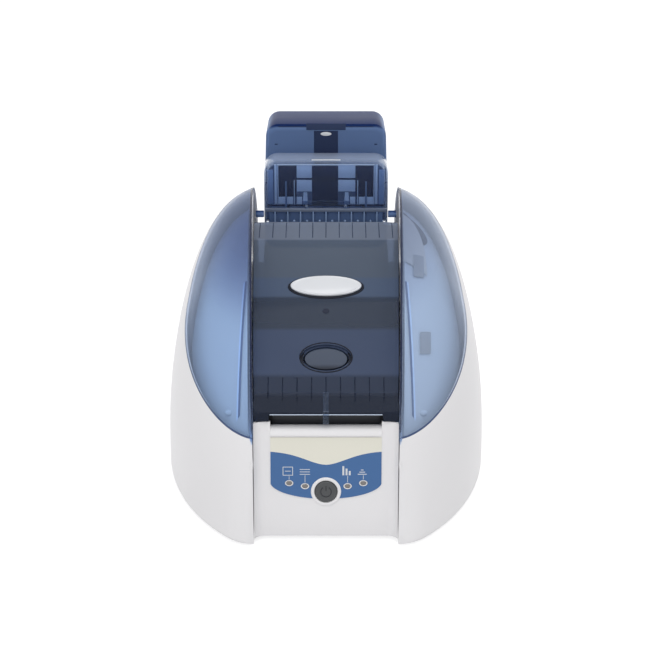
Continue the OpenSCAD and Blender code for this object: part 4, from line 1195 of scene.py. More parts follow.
for count in range(-5, 6):
    for d, run in ((187, -24), (40, -17)):
        pads.append(plate_on_hood(count * rib_pitch - shadow_half, count * rib_pitch + shadow_half, d * mm,
                                  run * mm, shadow_low, shadow_high, "rib_shadow", rib_shade))
for x0, x1, d, run in frame_rows:
    pads.append(plate_on_hood(x0 * mm, x1 * mm, d * mm, run * mm, under - frame_thick, under,
                              "latch_frame", smoke_hood))
print("pads, rib lines and latch frame:", len(pads), "plates")

# %% [markdown]
# ## Rims, clear tab and exit highlight
#
# Two dark rims hold the button and the badge, painted shade in the well and a painted shadow
# under the badge. A small clear tab runs down the middle of the hood's front, a thin pale rod
# paints the highlight on the hood's edge over the card exit, and a round mark lies between badge
# and button. These are short pieces, so a block, a rod or a plug each does.

# %% Rims and trim of the hood
# Painted shade: a dark ring that lines the button's well, for the shade on its walls.
well_shade_rim = [(16.9, 0.0), (16.75, 0.2), (16.4, 0.28), (16.1, 0.2), (15.98, 0.0), (15.95, -1.75),
            (14.5, -1.78)]
# Painted shadow: a dark ring under the badge's rim.
seat_shadow_rim = [(24.8, 0.0), (24.7, 0.3), (23.9, 0.55), (22.6, 0.3)]
seat_shorter = 13.5
tab_low, tab_high, tab_start, tab_run = -1.9 * mm, 1.7 * mm, 31 * mm, -12.4 * mm
edge_half, edge_radius = 34.8 * mm, 0.32 * mm
mark_depth, mark_radius = 86 * mm, 2.1 * mm

rim = oval_ring(well_shade_rim, latch_half * (1 - latch_squash) / mm, latch_depth, "well_shade_rim", deep_dark)
badge_shadow_piece = oval_ring(seat_shadow_rim, seat_shorter, badge_depth - 0.5 * mm, "badge_shadow_seat", deep_dark)
tab = plate_on_hood(tab_low, tab_high, tab_start, tab_run, 0.02 * mm, 0.5 * mm, "clear_tab", feeder_clear)
tab_foot = bmesh.new()
box_mesh(tab_foot, at(tab_low, hood_front[0] - 0.4 * mm, 76.5 * mm),
         at(tab_high, hood_front[0] + 0.8 * mm, 85 * mm))
tab_lower = soften(piece_from(tab_foot, "clear_tab_foot", feeder_clear), 0.2 * mm)
# Painted highlight: a thin pale rod along the hood's front edge over the card exit.
exit_highlight_mesh = bmesh.new()
rod(exit_highlight_mesh, edge_radius, -edge_half, edge_half, hood_front[0] + 0.1 * mm, exit_cut + 0.1 * mm, 12)
exit_highlight = piece_from(exit_highlight_mesh, "exit_edge_highlight", pane_light)
mark = oval_prism(mark_radius, 0.02 * mm, 0.18 * mm, mark_depth, "round_mark", 1.0, latch_dark, 40)
for extra in [*pads, rim, badge_shadow_piece, tab, tab_lower, exit_highlight, mark]:
    stands_for(extra, "hood", "smoke_hood")
print("hood extras:", len(pads) + 6, "pieces")

# %% [markdown]
# ## Seen through the wings
#
# Under the clear right wing two small grey windows and a paler crown show on the housing, with a
# dark crescent of painted shade behind it, where the gap under the wing falls dark. Both sides have
# a round boss near the front and a thin leaning line, a painted highlight on one side and painted
# shade on the other. They could be cut into the housing. Thin patches that follow its skin look
# the same through tinted plastic, and keep the housing one clean sheet.

# %% Patches on the housings
crown_first, crown_last, crown_width, crown_gap = 114 * mm, 180 * mm, 15.5 * mm, 0.2 * mm
crescent_first, crescent_last, crescent_end, crescent_width = 148 * mm, 187 * mm, 190 * mm, 6.5 * mm
crescent_rise, crown_rise, window_rise = 0.3 * mm, 0.6 * mm, 0.9 * mm
housing_grey = moulded("housing_grey", srgb(204, 198, 190), clouds=0.05, gloss=0.5)
window_grey = moulded("window_grey", srgb(158, 154, 150), clouds=0.06)


def flank_patch(place_x, first, last, rise, name, finish, slant=0.0, cells=(10, 40)):
    """A patch on the housing between place_x(ring) = (low x, high x), lifted by rise. With a slant
    its far side lies further back, so that its ends look level from the front."""
    bm = bmesh.new()
    lifted = housing_inset - rise, housing_side - rise, housing_drop - 0.3 * rise
    grid = bmesh.ops.create_grid(bm, x_segments=cells[0], y_segments=cells[1], size=0.5)["verts"]
    for vert in grid:
        u, v = vert.co.x + 0.5, vert.co.y + 0.5
        d = first + (last - first) * v
        low, high = place_x(Ring(d, *lifted))
        ring = Ring(d + slant * (high - low) * u, *lifted)
        vert.co = ring.place(*ring.skin(ring.turn_of_width(low + (high - low) * u)))
    return piece_from(bm, name, finish)


def crown_x(ring):
    share = min(1, max(0, (ring.d - crown_first) / (crown_last - crown_first)))
    start = ring.inner + crown_gap
    return start, start + crown_width * math.sqrt(max(0.0002, 1 - share ** 2))


def crescent_x(ring):
    """From under the crown to a little past its curved edge: only the part past it shows."""
    share = (ring.d - crescent_first) / (crescent_end - crescent_first)
    width = crescent_width * math.sin(math.pi * min(1, max(0, share)))
    low, high = crown_x(ring)
    return low, high + width + 0.1 * mm


def strip_x(low, high):
    return lambda ring: (ring.inner + low, ring.inner + high)


patches = [flank_patch(crown_x, crown_first, crown_last, crown_rise, "crown_panel", housing_grey),
           # Painted shade: the dark crescent past the crown, where the gap under the wing falls dark.
           flank_patch(crescent_x, crescent_first, crescent_last, crescent_rise, "crown_shadow", deep_dark),
           flank_patch(strip_x(7 * mm, 14 * mm), 103 * mm, 126 * mm, window_rise, "rear_window",
                       window_grey, slant=0.8),
           flank_patch(strip_x(11 * mm, 18 * mm), 49 * mm, 62 * mm, window_rise, "front_window",
                       window_grey, slant=0.9)]
print("patches on the right housing:", len(patches))

# %% [markdown]
# ## Bosses and leaning lines
#
# The boss is a ball pressed flat in depth and height. The leaning lines, a painted highlight beside
# painted shade, are two more patches on each side. Only the right-hand ones are modelled; the left
# ones are mirrored copies.

# %% Bosses and lines on both sides
boss_depth, boss_out, boss_radius = 27 * mm, 12 * mm, 3 * mm
lean_first, lean_last, highlight_width, shade_width = 20 * mm, 95 * mm, 1.1 * mm, 1.3 * mm
lean_near, lean_spread, lean_span = 2, 5, 75 * mm
# Painted highlight and painted shade for the leaning lines.
lean_light = moulded("lean_light", srgb(214, 228, 250), gloss=0.3)
lean_dark = moulded("lean_dark", srgb(66, 82, 120), gloss=0.3)

boss_bm = bmesh.new()
boss_ring = Ring(boss_depth, *insets)
boss_place = boss_ring.place(*boss_ring.skin(boss_ring.turn_of_width(boss_ring.inner + boss_out)))
bmesh.ops.create_uvsphere(boss_bm, u_segments=32, v_segments=16, radius=boss_radius)
for vert in boss_bm.verts:
    vert.co = boss_place + vert.co * Vector((1.0, 0.7, 0.7))
right_boss = piece_from(boss_bm, "right_boss", inner_white)


def lean_x(low, high):
    """A narrow line that leans away from the hood towards the front."""
    def edges(ring):
        start = ring.inner + (lean_near + lean_spread * (lean_last - ring.d) / lean_span) * mm
        return start + low, start + high
    return edges


for place, finish, name in ((lean_x(0, highlight_width), lean_light, "right_light_line"),
                            (lean_x(-shade_width, 0), lean_dark, "right_dark_line")):
    line = flank_patch(place, lean_first, lean_last, 0.5 * mm, name, finish, cells=(2, 40))
    patches += [line, mirrored_copy(line, name.replace("right", "left"))]
for patch in [*patches, right_boss, mirrored_copy(right_boss, "left_boss")]:
    stands_for(patch, "frame", "inner_white")
print("patches on both sides:", len(patches))

# %% [markdown]
# ## The line along the seam
#
# Where the clear wing meets the white shell, its cut edge gathers the dye and shows as a dark
# line. Refraction through a thick sheet would give it, at a high price in render time. A strip
# of skin, a little over a millimetre high and just proud of the wing, gives it for nothing.

# %% Seam lines
seam_line_height, seam_proud = 1.1 * mm, 0.06 * mm
wing_line = moulded("wing_line", srgb(52, 72, 112), clouds=0.05, gloss=0.3)


def edge_section(ring, share):
    low = ring.seam()
    start, end = ring.turn_of_height(low), ring.turn_of_height(min(low + seam_line_height, ring.crest()))
    return ring.skin(start + (end - start) * share)


seam_line = flank_sheet("right_seam_line", wing_line, 90, 2, edge_section, 0, wing_tip, -seam_proud)
left_seam_line = mirrored_copy(seam_line, "left_seam_line")
stands_for(seam_line, "frame", "blue_wing")
stands_for(left_seam_line, "frame", "blue_wing")
print("seam lines:", len(seam_line.data.polygons), "faces each")

# %% [markdown]
# ## The feeder
#
# The feeder is three open shells of tinted plastic: a body that holds the cards, a gate in front
# of it and a tall lid over its rear half. Each is a folded sheet: a profile of depths and heights
# is drawn across the whole width, the sides are filled in, the top corners are rounded with a
# bevel and the sheet then gets its wall. A cube with its faces deleted would do as well, but the
# profile keeps every height in sight.

# %% Folded shells
feeder_low, feeder_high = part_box("feeder_body")
gate_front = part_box("feeder_gate")[0].y - front_y
gate_rear, feeder_rear = feeder_low.y - front_y, feeder_high.y - front_y
feeder_half, feeder_floor, feeder_wall = feeder_high.x, feeder_low.z, 2.2 * mm
front_round = 4.6 * mm


def bent_grid(bm, across, along, place):
    """A grid whose points are set by place(u, v), both running from 0 to 1."""
    made = bmesh.ops.create_grid(bm, x_segments=across, y_segments=along, size=0.5)["verts"]
    for vert in made:
        vert.co = place(vert.co.x + 0.5, vert.co.y + 0.5)
    return made


def folded_shell(profile, half, corner, corner_above):
    """A sheet through the (depth, height) profile, with its two sides filled in."""
    bm = bmesh.new()
    last = len(profile) - 1
    made = bent_grid(bm, last, 1, lambda u, v: at((2 * v - 1) * half, *profile[round(u * last)]))
    for side in (-1, 1):
        rim = [vert for vert in made if vert.co.x * side > 0]
        ends = [min(rim, key=lambda vert, p=profile[i]: (vert.co - at(vert.co.x, *p)).length)
                for i in (0, last)]
        loop = [edge for edge in bm.edges if edge.verts[0] in rim and edge.verts[1] in rim]
        closing = bmesh.ops.contextual_create(bm, geom=ends)["edges"]
        bmesh.ops.contextual_create(bm, geom=loop + closing)
    rims = [edge for edge in bm.edges if abs(edge.verts[0].co.x - edge.verts[1].co.x) < 0.1 * mm
            and min(vert.co.z for vert in edge.verts) > corner_above and len(edge.link_faces) == 2]
    if corner:
        bmesh.ops.bevel(bm, geom=rims, offset=corner, segments=8, profile=0.5, affect="EDGES", material=-1)
    return bm


def round_front(bm, depth, radius):
    """Rounds the upright edges, and the top edge, of the face that stands at a depth."""
    rims = [edge for edge in bm.edges
            if all(abs(vert.co.y - front_y - depth) < 0.05 * mm for vert in edge.verts)
            and len(edge.link_faces) == 2 and edge.calc_face_angle() > math.radians(20)
            and max(vert.co.z for vert in edge.verts) > feeder_floor + 5 * mm]
    bmesh.ops.bevel(bm, geom=rims, offset=radius, segments=6, profile=0.5, affect="EDGES", material=-1)
    return bm


def open_shell(bm, is_open):
    """Takes away the faces whose corners all pass the test."""
    faces = [face for face in bm.faces if all(is_open(vert.co) for vert in face.verts)]
    bmesh.ops.delete(bm, geom=faces, context="FACES")
    return bm


print("feeder from", round(gate_front / mm, 1), "to", round(feeder_rear / mm, 1), "mm behind the front")

# %% [markdown]
# ## The clear gate
#
# The gate is the front wall of the card well, rounded at its top corners, with a mouth below
# through which the lowest card leaves. Its foot faces are deleted, so it stands open below.

# %% Gate
gate_top, gate_corner = 180.6 * mm, 9.5 * mm
mouth_half, mouth_top = 27.5 * mm, 86.5 * mm

gate_bm = folded_shell([(gate_rear, feeder_floor), (gate_front, feeder_floor), (gate_front, gate_top),
                        (gate_rear, gate_top)], feeder_half, gate_corner, gate_top - 1.6 * mm)
round_front(gate_bm, gate_front, front_round)
open_shell(gate_bm, lambda place: place.z < feeder_floor + 1 * mm)
gate = piece_from(gate_bm, "front_gate", feeder_clear)
soften(give_wall(gate, feeder_wall), 0.4 * mm, 2, 40)
cut_box(gate, at(-mouth_half, gate_front - 5 * mm, 60 * mm), at(mouth_half, gate_rear + 1 * mm, mouth_top))
stands_for(gate, "frame", "feeder_clear", "feeder_gate")
print("gate:", len(gate.data.polygons), "faces")

# %% [markdown]
# ## The card well
#
# The well is the blue body behind the gate. A slot in its foot lets the card pass, and its rear
# top edge is notched twice: once for the lid's barrel, once for the lid's wall when it swings
# down. Guides inside keep the cards straight, and two ears carry the lid's pin.

# %% Card well, guides and ears
well_top = 158 * mm
pin_depth, pin_height = feeder_rear - 2.2 * mm, 158.15 * mm
barrel_radius, barrel_half, ear_start = 2.2 * mm, 38.2 * mm, 38.5 * mm
guide_start, guide_end = 27 * mm, 28.2 * mm

body_bm = folded_shell([(gate_rear, well_top), (gate_rear, feeder_floor), (feeder_rear, feeder_floor),
                        (feeder_rear, well_top)], feeder_half, 0, 1)
open_shell(body_bm, lambda place: place.y < front_y + gate_rear + 1 * mm)
body = piece_from(body_bm, "card_well", feeder_blue)
soften(give_wall(body, feeder_wall), 0.8 * mm, 3)
for half, start, end, low, high in (
        (27 * mm, gate_rear - 5 * mm, gate_front + 60.5 * mm, 60 * mm, 81 * mm),
        (ear_start, feeder_rear - 4.8 * mm, feeder_rear + 5 * mm, 155 * mm, 162 * mm),
        (50 * mm, feeder_rear - 2.25 * mm, feeder_rear + 5 * mm, 155.1 * mm, 162 * mm)):
    cut_box(body, at(-half, start, low), at(half, end, high))
guides = bmesh.new()
guide_pair, ear_pair = both_ways(guide_start, guide_end), both_ways(ear_start, feeder_half)
for (low, high), (ear_low, ear_high) in zip(guide_pair, ear_pair):
    box_mesh(guides, at(low, gate_rear + 0.5 * mm, feeder_floor + 2 * mm),
             at(high, feeder_rear - 2.1 * mm, 152 * mm))
    box_mesh(guides, at(low, gate_front + 2.1 * mm, feeder_floor + 2.2 * mm),
             at(high, gate_rear - 0.3 * mm, gate_top - 14 * mm))
    rod(guides, barrel_radius, ear_low, ear_high, pin_depth, pin_height)
guide = soften(piece_from(guides, "card_guides", feeder_blue), 0.2 * mm)
cut_bore(guide, 1.25 * mm, 60 * mm, pin_depth, pin_height)
stands_for(body, "frame", "feeder_blue", "feeder_body")
stands_for(guide, "frame", "feeder_blue")
print("card well and guides:", len(body.data.polygons) + len(guide.data.polygons), "faces")

# %% [markdown]
# ## The feeder's lid
#
# The lid is the third folded shell. It tapers a little towards its top, as a moulded lid must to
# leave its mould, so each vertex is drawn inwards by its height. A barrel along its foot takes
# the pin, and room is cut in it for the ears of the well.

# %% Lid and barrel
lid_top, lid_back, lid_foot = 201 * mm, 187.2 * mm, 158.3 * mm
lid_corner, lid_taper = 8.5 * mm, 0.034
ear_room, bore_reach = 2.6 * mm, 45 * mm

lid_bm = folded_shell([(gate_rear, lid_foot), (gate_rear, lid_top), (feeder_rear, lid_back),
                       (feeder_rear, lid_foot)], feeder_half, lid_corner, lid_back - 20 * mm)
round_front(lid_bm, gate_rear, front_round)
for vert in lid_bm.verts:
    vert.co.x *= 1 - lid_taper * (vert.co.z - lid_foot) / (lid_top - lid_foot)
lid = piece_from(lid_bm, "tall_lid", feeder_blue)
soften(give_wall(lid, feeder_wall), 0.4 * mm, 2, 40)
barrel = bmesh.new()
rod(barrel, barrel_radius, -barrel_half, barrel_half, pin_depth, pin_height)
lid_barrel = piece_from(barrel, "lid_barrel", feeder_blue)
for piece in (lid, lid_barrel):
    cut_bore(piece, 1.3 * mm, bore_reach, pin_depth, pin_height)
clearance = bmesh.new()
for low, high in both_ways(barrel_half, bore_reach):
    rod(clearance, ear_room, low, high, pin_depth, pin_height)
carve(lid, piece_from(clearance, "ear_clearance", feeder_blue))
stands_for(lid, "lid", "feeder_blue", "feeder_lid")
stands_for(lid_barrel, "lid", "feeder_blue")
print("lid:", len(lid.data.polygons), "faces")

# %% [markdown]
# ## Strip and window of the lid
#
# A dark strip runs down the inside of the lid's front, with a wide bar and a thin line across
# its rounded top edge, and a small white oval shows near the top. Printed lines would need an
# image. Blocks and a flattened plug do it, and the bars are tilted to lie along the rounding.

# %% Strip, bars and window
strip_half, strip_drop = 8.3 * mm, 4.4 * mm
bar_tilt, bar_drop, bar_thick = math.radians(46), 1.85 * mm, 0.5 * mm
strip_front = gate_rear - 0.12 * mm
strip_blue = moulded("strip_blue", srgb(40, 50, 76), clouds=0.08, grain=0.04, gloss=0.25, index=1.1)


def tilted_bar(bm, half, reach, d, z, turn):
    """A flat bar across the lid's rounded top edge, turned about the axis across the machine."""
    for vert in box_mesh(bm, (-half, -reach, -bar_thick / 2), (half, reach, bar_thick / 2)):
        vert.co = at(vert.co.x, d + vert.co.y * math.cos(turn) - vert.co.z * math.sin(turn),
                     z + vert.co.y * math.sin(turn) + vert.co.z * math.cos(turn))


strip = bmesh.new()
box_mesh(strip, at(-strip_half, strip_front, lid_foot),
         at(strip_half, strip_front + 1 * mm, lid_top - strip_drop))
tilted_bar(strip, 13.6 * mm, 2.3 * mm, gate_rear + 1.35 * mm, lid_top - bar_drop, bar_tilt)
tilted_bar(strip, 33 * mm, 0.35 * mm, gate_rear + 1.3 * mm, lid_top - bar_drop, bar_tilt)
for low, high in both_ways(33.5 * mm, 35.5 * mm):
    box_mesh(strip, at(low, strip_front, 186.4 * mm), at(high, strip_front + 1.2 * mm, 187.2 * mm))
dark_strip = soften(piece_from(strip, "lid_strip", strip_blue), 0.1 * mm)
spot = bmesh.new()
bmesh.ops.create_cone(spot, cap_ends=True, segments=40, radius1=1, radius2=1, depth=1)
for vert in spot.verts:
    vert.co = at(vert.co.x * 3.8 * mm, gate_rear + 0.35 * mm + vert.co.z * 1.2 * mm,
                 194.4 * mm + vert.co.y * 1.4 * mm)
light_spot = soften(piece_from(spot, "lid_window", inner_white), 0.2 * mm)
stands_for(dark_strip, "lid", "latch_dark")
stands_for(light_spot, "lid", "inner_white")
print("strip and window:", len(dark_strip.data.polygons) + len(light_spot.data.polygons), "faces")

# %% [markdown]
# ## Details behind the clear gate
#
# A frame of dark panels and lighter cells stands behind the gate, with two short studs and a thin
# light bar under the bevelled top. Pale bars at both sides are painted highlights, for the gate's
# rounded upright edges. Seen through the gate it is all flat rectangles, so the rows below give
# only their four sides, in millimetres, and one function makes a piece of them. The light cells are
# a little thicker, so they show where both meet.

# %% Gate frame
dark_panels = [(-32.7, -20.3, 154.6, 177.5), (20.3, 32.7, 154.6, 177.5), (-20.2, 20.2, 167, 168.2),
               (-9.6, 8.3, 148.6, 177.5), (-41, 41, 147.4, 148.5)]
light_cells = [(-20.2, -9.7, 168.3, 177.5), (8.4, 20.2, 168.3, 177.5), (-20.2, -9.7, 158.4, 166.9),
               (8.4, 20.2, 158.4, 166.9), (-32.7, -22.8, 149, 154.4), (22.8, 32.7, 149, 154.4),
               (-35.6, -33.9, 149, 178.2), (33.9, 35.6, 149, 178.2), (-20.2, -16.6, 149, 154.4),
               (16.6, 20.2, 149, 154.4)]
upright_rows = [(-33.5, -32.8, 149, 178.2), (32.8, 33.5, 149, 178.2), (-22.2, -21.6, 149, 166.8),
                (21.6, 22.2, 149, 166.8), (-33.5, 33.5, 177.6, 178.3)]
# Painted highlights on the gate's rounded upright edges, at both sides.
side_highlights = [(-40.6, -36.4, 149, 174), (36.4, 40.6, 149, 174)]
light_bar = [(-9.9, 9.9, 180.2, 180.8)]
window_back = gate_front + feeder_wall + 1.4 * mm
plate_edge = 0.1 * mm
pane_dark = moulded("pane_dark", srgb(23, 37, 72), clouds=0.1, grain=0.04, gloss=0.25, index=1.1)
# Light blue for the bridge ribs, and for the painted highlights at the gate's sides.
bar_blue = moulded("bar_blue", srgb(134, 156, 192), clouds=0.2, cloud_scale=90, gloss=0.25, index=1.3)
stud_out, stud_height, stud_length, stud_flat = 14.3 * mm, 153.2 * mm, 9 * mm, 0.1


def plates(rows, low_d, high_d, name, finish):
    """Upright blocks over rows of (x0, x1, z0, z1), all from one depth to another."""
    bm = bmesh.new()
    for x0, x1, z0, z1 in rows:
        box_mesh(bm, at(x0 * mm, low_d, z0 * mm), at(x1 * mm, high_d, z1 * mm))
    return soften(piece_from(bm, name, finish), plate_edge)


panes = plates(dark_panels, window_back, window_back + 0.3 * mm, "gate_dark_panes", pane_dark)
cells = plates(light_cells, window_back, window_back + 0.33 * mm, "gate_light_cells", pane_light)
side_highlight = plates(side_highlights, window_back + 0.4 * mm, window_back + 1.4 * mm, "gate_side_highlights", bar_blue)
bar = plates(light_bar, gate_front + 5.4 * mm, gate_front + 6.8 * mm, "gate_light_bar", inner_white)
uprights = plates(upright_rows, window_back - 0.4 * mm, window_back + 0.2 * mm, "gate_uprights", pane_light)
studs = bmesh.new()
for x in (-stud_out, stud_out):
    made = bmesh.ops.create_cone(studs, cap_ends=True, segments=32, radius1=1.7 * mm, radius2=1.3 * mm,
                                 depth=stud_length)["verts"]
    bmesh.ops.scale(studs, vec=(1, stud_flat, 1), verts=made)
    bmesh.ops.translate(studs, vec=at(x, window_back + 0.18 * mm, stud_height), verts=made)
stud = piece_from(studs, "gate_studs", pane_light)
for piece, slot in ((uprights, "feeder_clear"), (side_highlight, "feeder_clear"), (stud, "feeder_clear"),
                    (panes, "latch_dark"), (cells, "feeder_clear"), (bar, "inner_white")):
    stands_for(piece, "frame", slot)
print("gate frame:", len(dark_panels) + len(light_cells), "plates")

# %% [markdown]
# ## The bridge between hood and feeder
#
# The blue bridge behind the hood has upright ribs with small balls between them, a row of dark
# dots above, a grey strip along its top and an ear at each end. Each kind is one bmesh: a block,
# a ball or a short cone is created once per place and moved there.

# %% Bridge
bridge_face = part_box("hinge_bridge")[0].y - front_y
bridge_pitch, bridge_rib_half = 8.8 * mm, 0.4 * mm
bead_radius, bead_height, dot_radius, dot_height = 0.9 * mm, 138.6 * mm, 1.1 * mm, 145 * mm
ear_radius, ear_height = 2.4 * mm, 143.6 * mm
bridge_grey = moulded("bridge_grey", srgb(104, 114, 134), clouds=0.1, gloss=0.3)

ribs_bm, dots, ears_bm = (bmesh.new() for _ in range(3))
for count in range(-4, 5):
    x = count * bridge_pitch
    box_mesh(ribs_bm, at(x - bridge_rib_half, bridge_face - 0.1 * mm, 128 * mm),
             at(x + bridge_rib_half, bridge_face + 0.9 * mm, 146 * mm))
    made = bmesh.ops.create_uvsphere(ribs_bm, u_segments=16, v_segments=10, radius=bead_radius)["verts"]
    bmesh.ops.translate(ribs_bm, vec=at(x + bridge_pitch / 2, bridge_face + 0.9 * mm, bead_height),
                        verts=made)
    made = bmesh.ops.create_cone(dots, cap_ends=True, segments=20, radius1=dot_radius, radius2=dot_radius,
                                 depth=1 * mm, matrix=Matrix.Rotation(math.pi / 2, 4, "X"))["verts"]
    bmesh.ops.translate(dots, vec=at(x, bridge_face + 0.55 * mm, dot_height), verts=made)
for low, high in both_ways(42.9 * mm, 48.6 * mm):
    rod(ears_bm, ear_radius, low, high, bridge_face + 1.7 * mm, ear_height)
bridge_ribs = piece_from(ribs_bm, "bridge_ribs", bar_blue)
cap_strip = plates([(-42, 42, 145.7, 147.8)], bridge_face + 0.2 * mm, gate_front - 0.1 * mm, "bridge_cap",
                   bridge_grey)
ears = soften(piece_from(ears_bm, "bridge_ears", feeder_blue), 0.4 * mm)
bridge_dots = piece_from(dots, "bridge_dots", latch_dark)
for piece, slot in ((cap_strip, "feeder_blue"), (ears, "feeder_blue"), (bridge_ribs, "feeder_blue"),
                    (bridge_dots, "latch_dark")):
    stands_for(piece, "frame", slot)
print("bridge:", len(bridge_ribs.data.polygons) + len(bridge_dots.data.polygons), "faces")

# %% [markdown]
# ## The front panel
#
# The panel leans back ten degrees. Everything on it is placed with one function that takes a
# width, a depth behind the panel's face and a length up the panel. At both sides the face curves
# forward in a cove. The face is a grid bent in plan, which gives smooth coves without a single
# hand-placed vertex. First come its sizes and the ways to place and drill things on it.

# %% Placing things on the panel
panel_lean, panel_recess, panel_foot = math.radians(10), 8 * mm, 3 * mm
panel_half, cove, panel_wall, panel_length = 44.9 * mm, 7 * mm, 2.6 * mm, 75.6 * mm
flat_share, cove_share = 0.3, 0.2
lip_level, lip_round, notch_half = 66.7 * mm, 4.2 * mm, 34.6 * mm
button_level, button_radius = 29.7 * mm, 6.9 * mm
lamp_long, lamp_short, drill_reach = 2.75 * mm, 2.05 * mm, 9 * mm
led_places = [(-23, 35.3), (-13.1, 33.3), (13.5, 33.3), (23.3, 35.3)]


def on_panel(x, y, s):
    return at(x, panel_recess + y * math.cos(panel_lean) + s * math.sin(panel_lean),
              panel_foot - y * math.sin(panel_lean) + s * math.cos(panel_lean))


def laid_on_panel(bm, x=0.0, s=0.0):
    """Turns a mesh drawn flat, z out of the face, onto the panel at x and s."""
    for vert in bm.verts:
        vert.co = on_panel(vert.co.x + x, -vert.co.z, vert.co.y + s)
    return bm


def cove_place(u, v):
    """The face in plan: a cove, the flat middle and a cove, from one side to the other."""
    if abs(u - 0.5) <= flat_share:
        return on_panel((u - 0.5) / flat_share * (panel_half - cove), 0, v * panel_length)
    turn = math.pi / 2 * min(1, (abs(u - 0.5) - flat_share) / cove_share)
    side = 1 if u > 0.5 else -1
    return on_panel(side * (panel_half - cove + cove * math.sin(turn)), -cove * (1 - math.cos(turn)),
                    v * panel_length)


def round_plug(half_x, half_s, low, high, x, s, segments=64):
    """An oval plug on the panel from low to high, measured out of the face."""
    bm = bmesh.new()
    bmesh.ops.create_cone(bm, cap_ends=True, segments=segments, radius1=1, radius2=1, depth=high - low)
    for vert in bm.verts:
        vert.co = Vector((vert.co.x * half_x, vert.co.y * half_s, vert.co.z + (low + high) / 2))
    return piece_from(laid_on_panel(bm, x, s), "plug_cutter", white_case)


def cut_lamp_holes(piece):
    for x, s in led_places:
        carve(piece, round_plug(lamp_long, lamp_short, -drill_reach, drill_reach, x * mm, s * mm, 32))


print("panel leans", round(math.degrees(panel_lean)), "degrees and carries", len(led_places), "lights")

# %% [markdown]
# ## The panel's face
#
# The face gets its wall towards the inside: which way that is depends on how its faces came to
# point, so it is tested. At the card exit the top is cut away between two pillars, and the button
# and the lights get real holes.

# %% Panel with coves and pillars
face_bm = bmesh.new()
bent_grid(face_bm, 40, 4, cove_place)
bmesh.ops.reverse_faces(face_bm, faces=face_bm.faces)
panel = piece_from(face_bm, "panel_face", white_case)
faces_front = panel.data.polygons[len(panel.data.polygons) // 2].normal.y < 0
give_wall(panel, panel_wall if faces_front else -panel_wall)
for vert in panel.data.vertices:
    vert.co.x = min(panel_half, max(-panel_half, vert.co.x))
notch = bmesh.new()
box_mesh(notch, (-notch_half, lip_level, -20 * mm), (notch_half, 100 * mm, 20 * mm))
carve(panel, piece_from(laid_on_panel(notch), "notch_cutter", white_case))
soften(panel, 0.6 * mm, 3)
button_hole = button_radius + 0.3 * mm
carve(panel, round_plug(button_hole, button_hole, -drill_reach, drill_reach, 0, button_level))
cut_lamp_holes(panel)
print("panel:", len(panel.data.polygons), "faces")

# %% [markdown]
# ## Exit lip and button ring
#
# Between the pillars the panel's top rolls back in a soft lip that the card slides over. It is
# half a turn of a circle, bent from a grid. The white ring round the power button has a rounded
# profile, so its rows give a radius and a height, and the grid is rolled round once.

# %% Lip and ring
ring_rows = [(9.6, 0.0), (9.5, 0.3), (9.2, 0.6), (8.8, 0.76), (8.3, 0.8), (7.8, 0.74), (7.4, 0.55),
             (7.2, 0.1)]


def lip_place(u, v):
    turn = math.pi * v
    return on_panel((2 * u - 1) * notch_half, lip_round * (1 - math.cos(turn)),
                    lip_level + lip_round * math.sin(turn))


def ring_place(u, v):
    radius, height = ring_rows[round(v * (len(ring_rows) - 1))]
    return Vector((radius * math.cos(math.tau * u), radius * math.sin(math.tau * u), height)) * mm


lip_bm, ring_bm = bmesh.new(), bmesh.new()
bent_grid(lip_bm, 6, 20, lip_place)
lip = give_wall(piece_from(lip_bm, "exit_lip", white_case), -1.4 * mm)
bent_grid(ring_bm, ring_sides, len(ring_rows) - 1, ring_place)
ring = piece_from(laid_on_panel(ring_bm, 0, button_level), "button_ring", white_case)
stands_for(panel, "frame", "white_case", "front_panel")
stands_for(lip, "frame", "white_case")
stands_for(ring, "frame", "white_case")
print("lip and ring:", len(lip.data.polygons) + len(ring.data.polygons), "faces")

# %% [markdown]
# ## The label
#
# The label has a cream field above and a blue field below, parted by a line that dips in the
# middle. An image would need a UV map and would blur close to. Two thin sheets with the dip in
# their shape stay sharp. The holes for the lights and the ring are drilled through them.

# %% Label
label_half, label_thick, label_top = 34.6 * mm, 0.4 * mm, 65.4 * mm
ring_hole = 9.5 * mm
cream_print = moulded("cream_print", srgb(222, 220, 208), clouds=0.03, grain=0.04)


def label_foot(x):
    return (36.4 - 11.5 * math.sqrt(1 - 0.98 * (x / label_half) ** 2)) * mm


def label_dip(x):
    return (56.6 - 9.1 * math.exp(-(abs(x) / (19 * mm)) ** 1.78)) * mm


def label_field(low, high, name, finish):
    """A thin sheet on the panel, between the curves low(x) and high(x)."""
    def place(u, v):
        x = -label_half * math.cos(math.pi * u)
        return on_panel(x, -label_thick, low(x) + (high(x) - low(x)) * v)
    bm = bmesh.new()
    bent_grid(bm, 48, 3, place)
    field = piece_from(bm, name, finish)
    if field.data.polygons[0].normal.y > 0:
        field.data.flip_normals()
    give_wall(field, label_thick)
    carve(field, round_plug(ring_hole, ring_hole, -5 * mm, 5 * mm, 0, button_level))
    cut_lamp_holes(field)
    return field


blue_field = label_field(label_foot, label_dip, "blue_field", printed_label)
cream_field = label_field(label_dip, lambda x: label_top, "cream_field", cream_print)
stands_for(blue_field, "frame", "printed_label", "control_label")
stands_for(cream_field, "frame", "printed_label")
print("label:", len(blue_field.data.polygons) + len(cream_field.data.polygons), "faces")

# %% [markdown]
# ## Marks over the lights
#
# A plain mark stands over each light: a box with a line in it, three equal lines, three bars that
# fall in height and three lines that shorten upwards, each with a short stroke down to its light.
# They stand a few hundredths of a millimetre proud of the label, like thick ink, and all are one
# piece made of blocks.

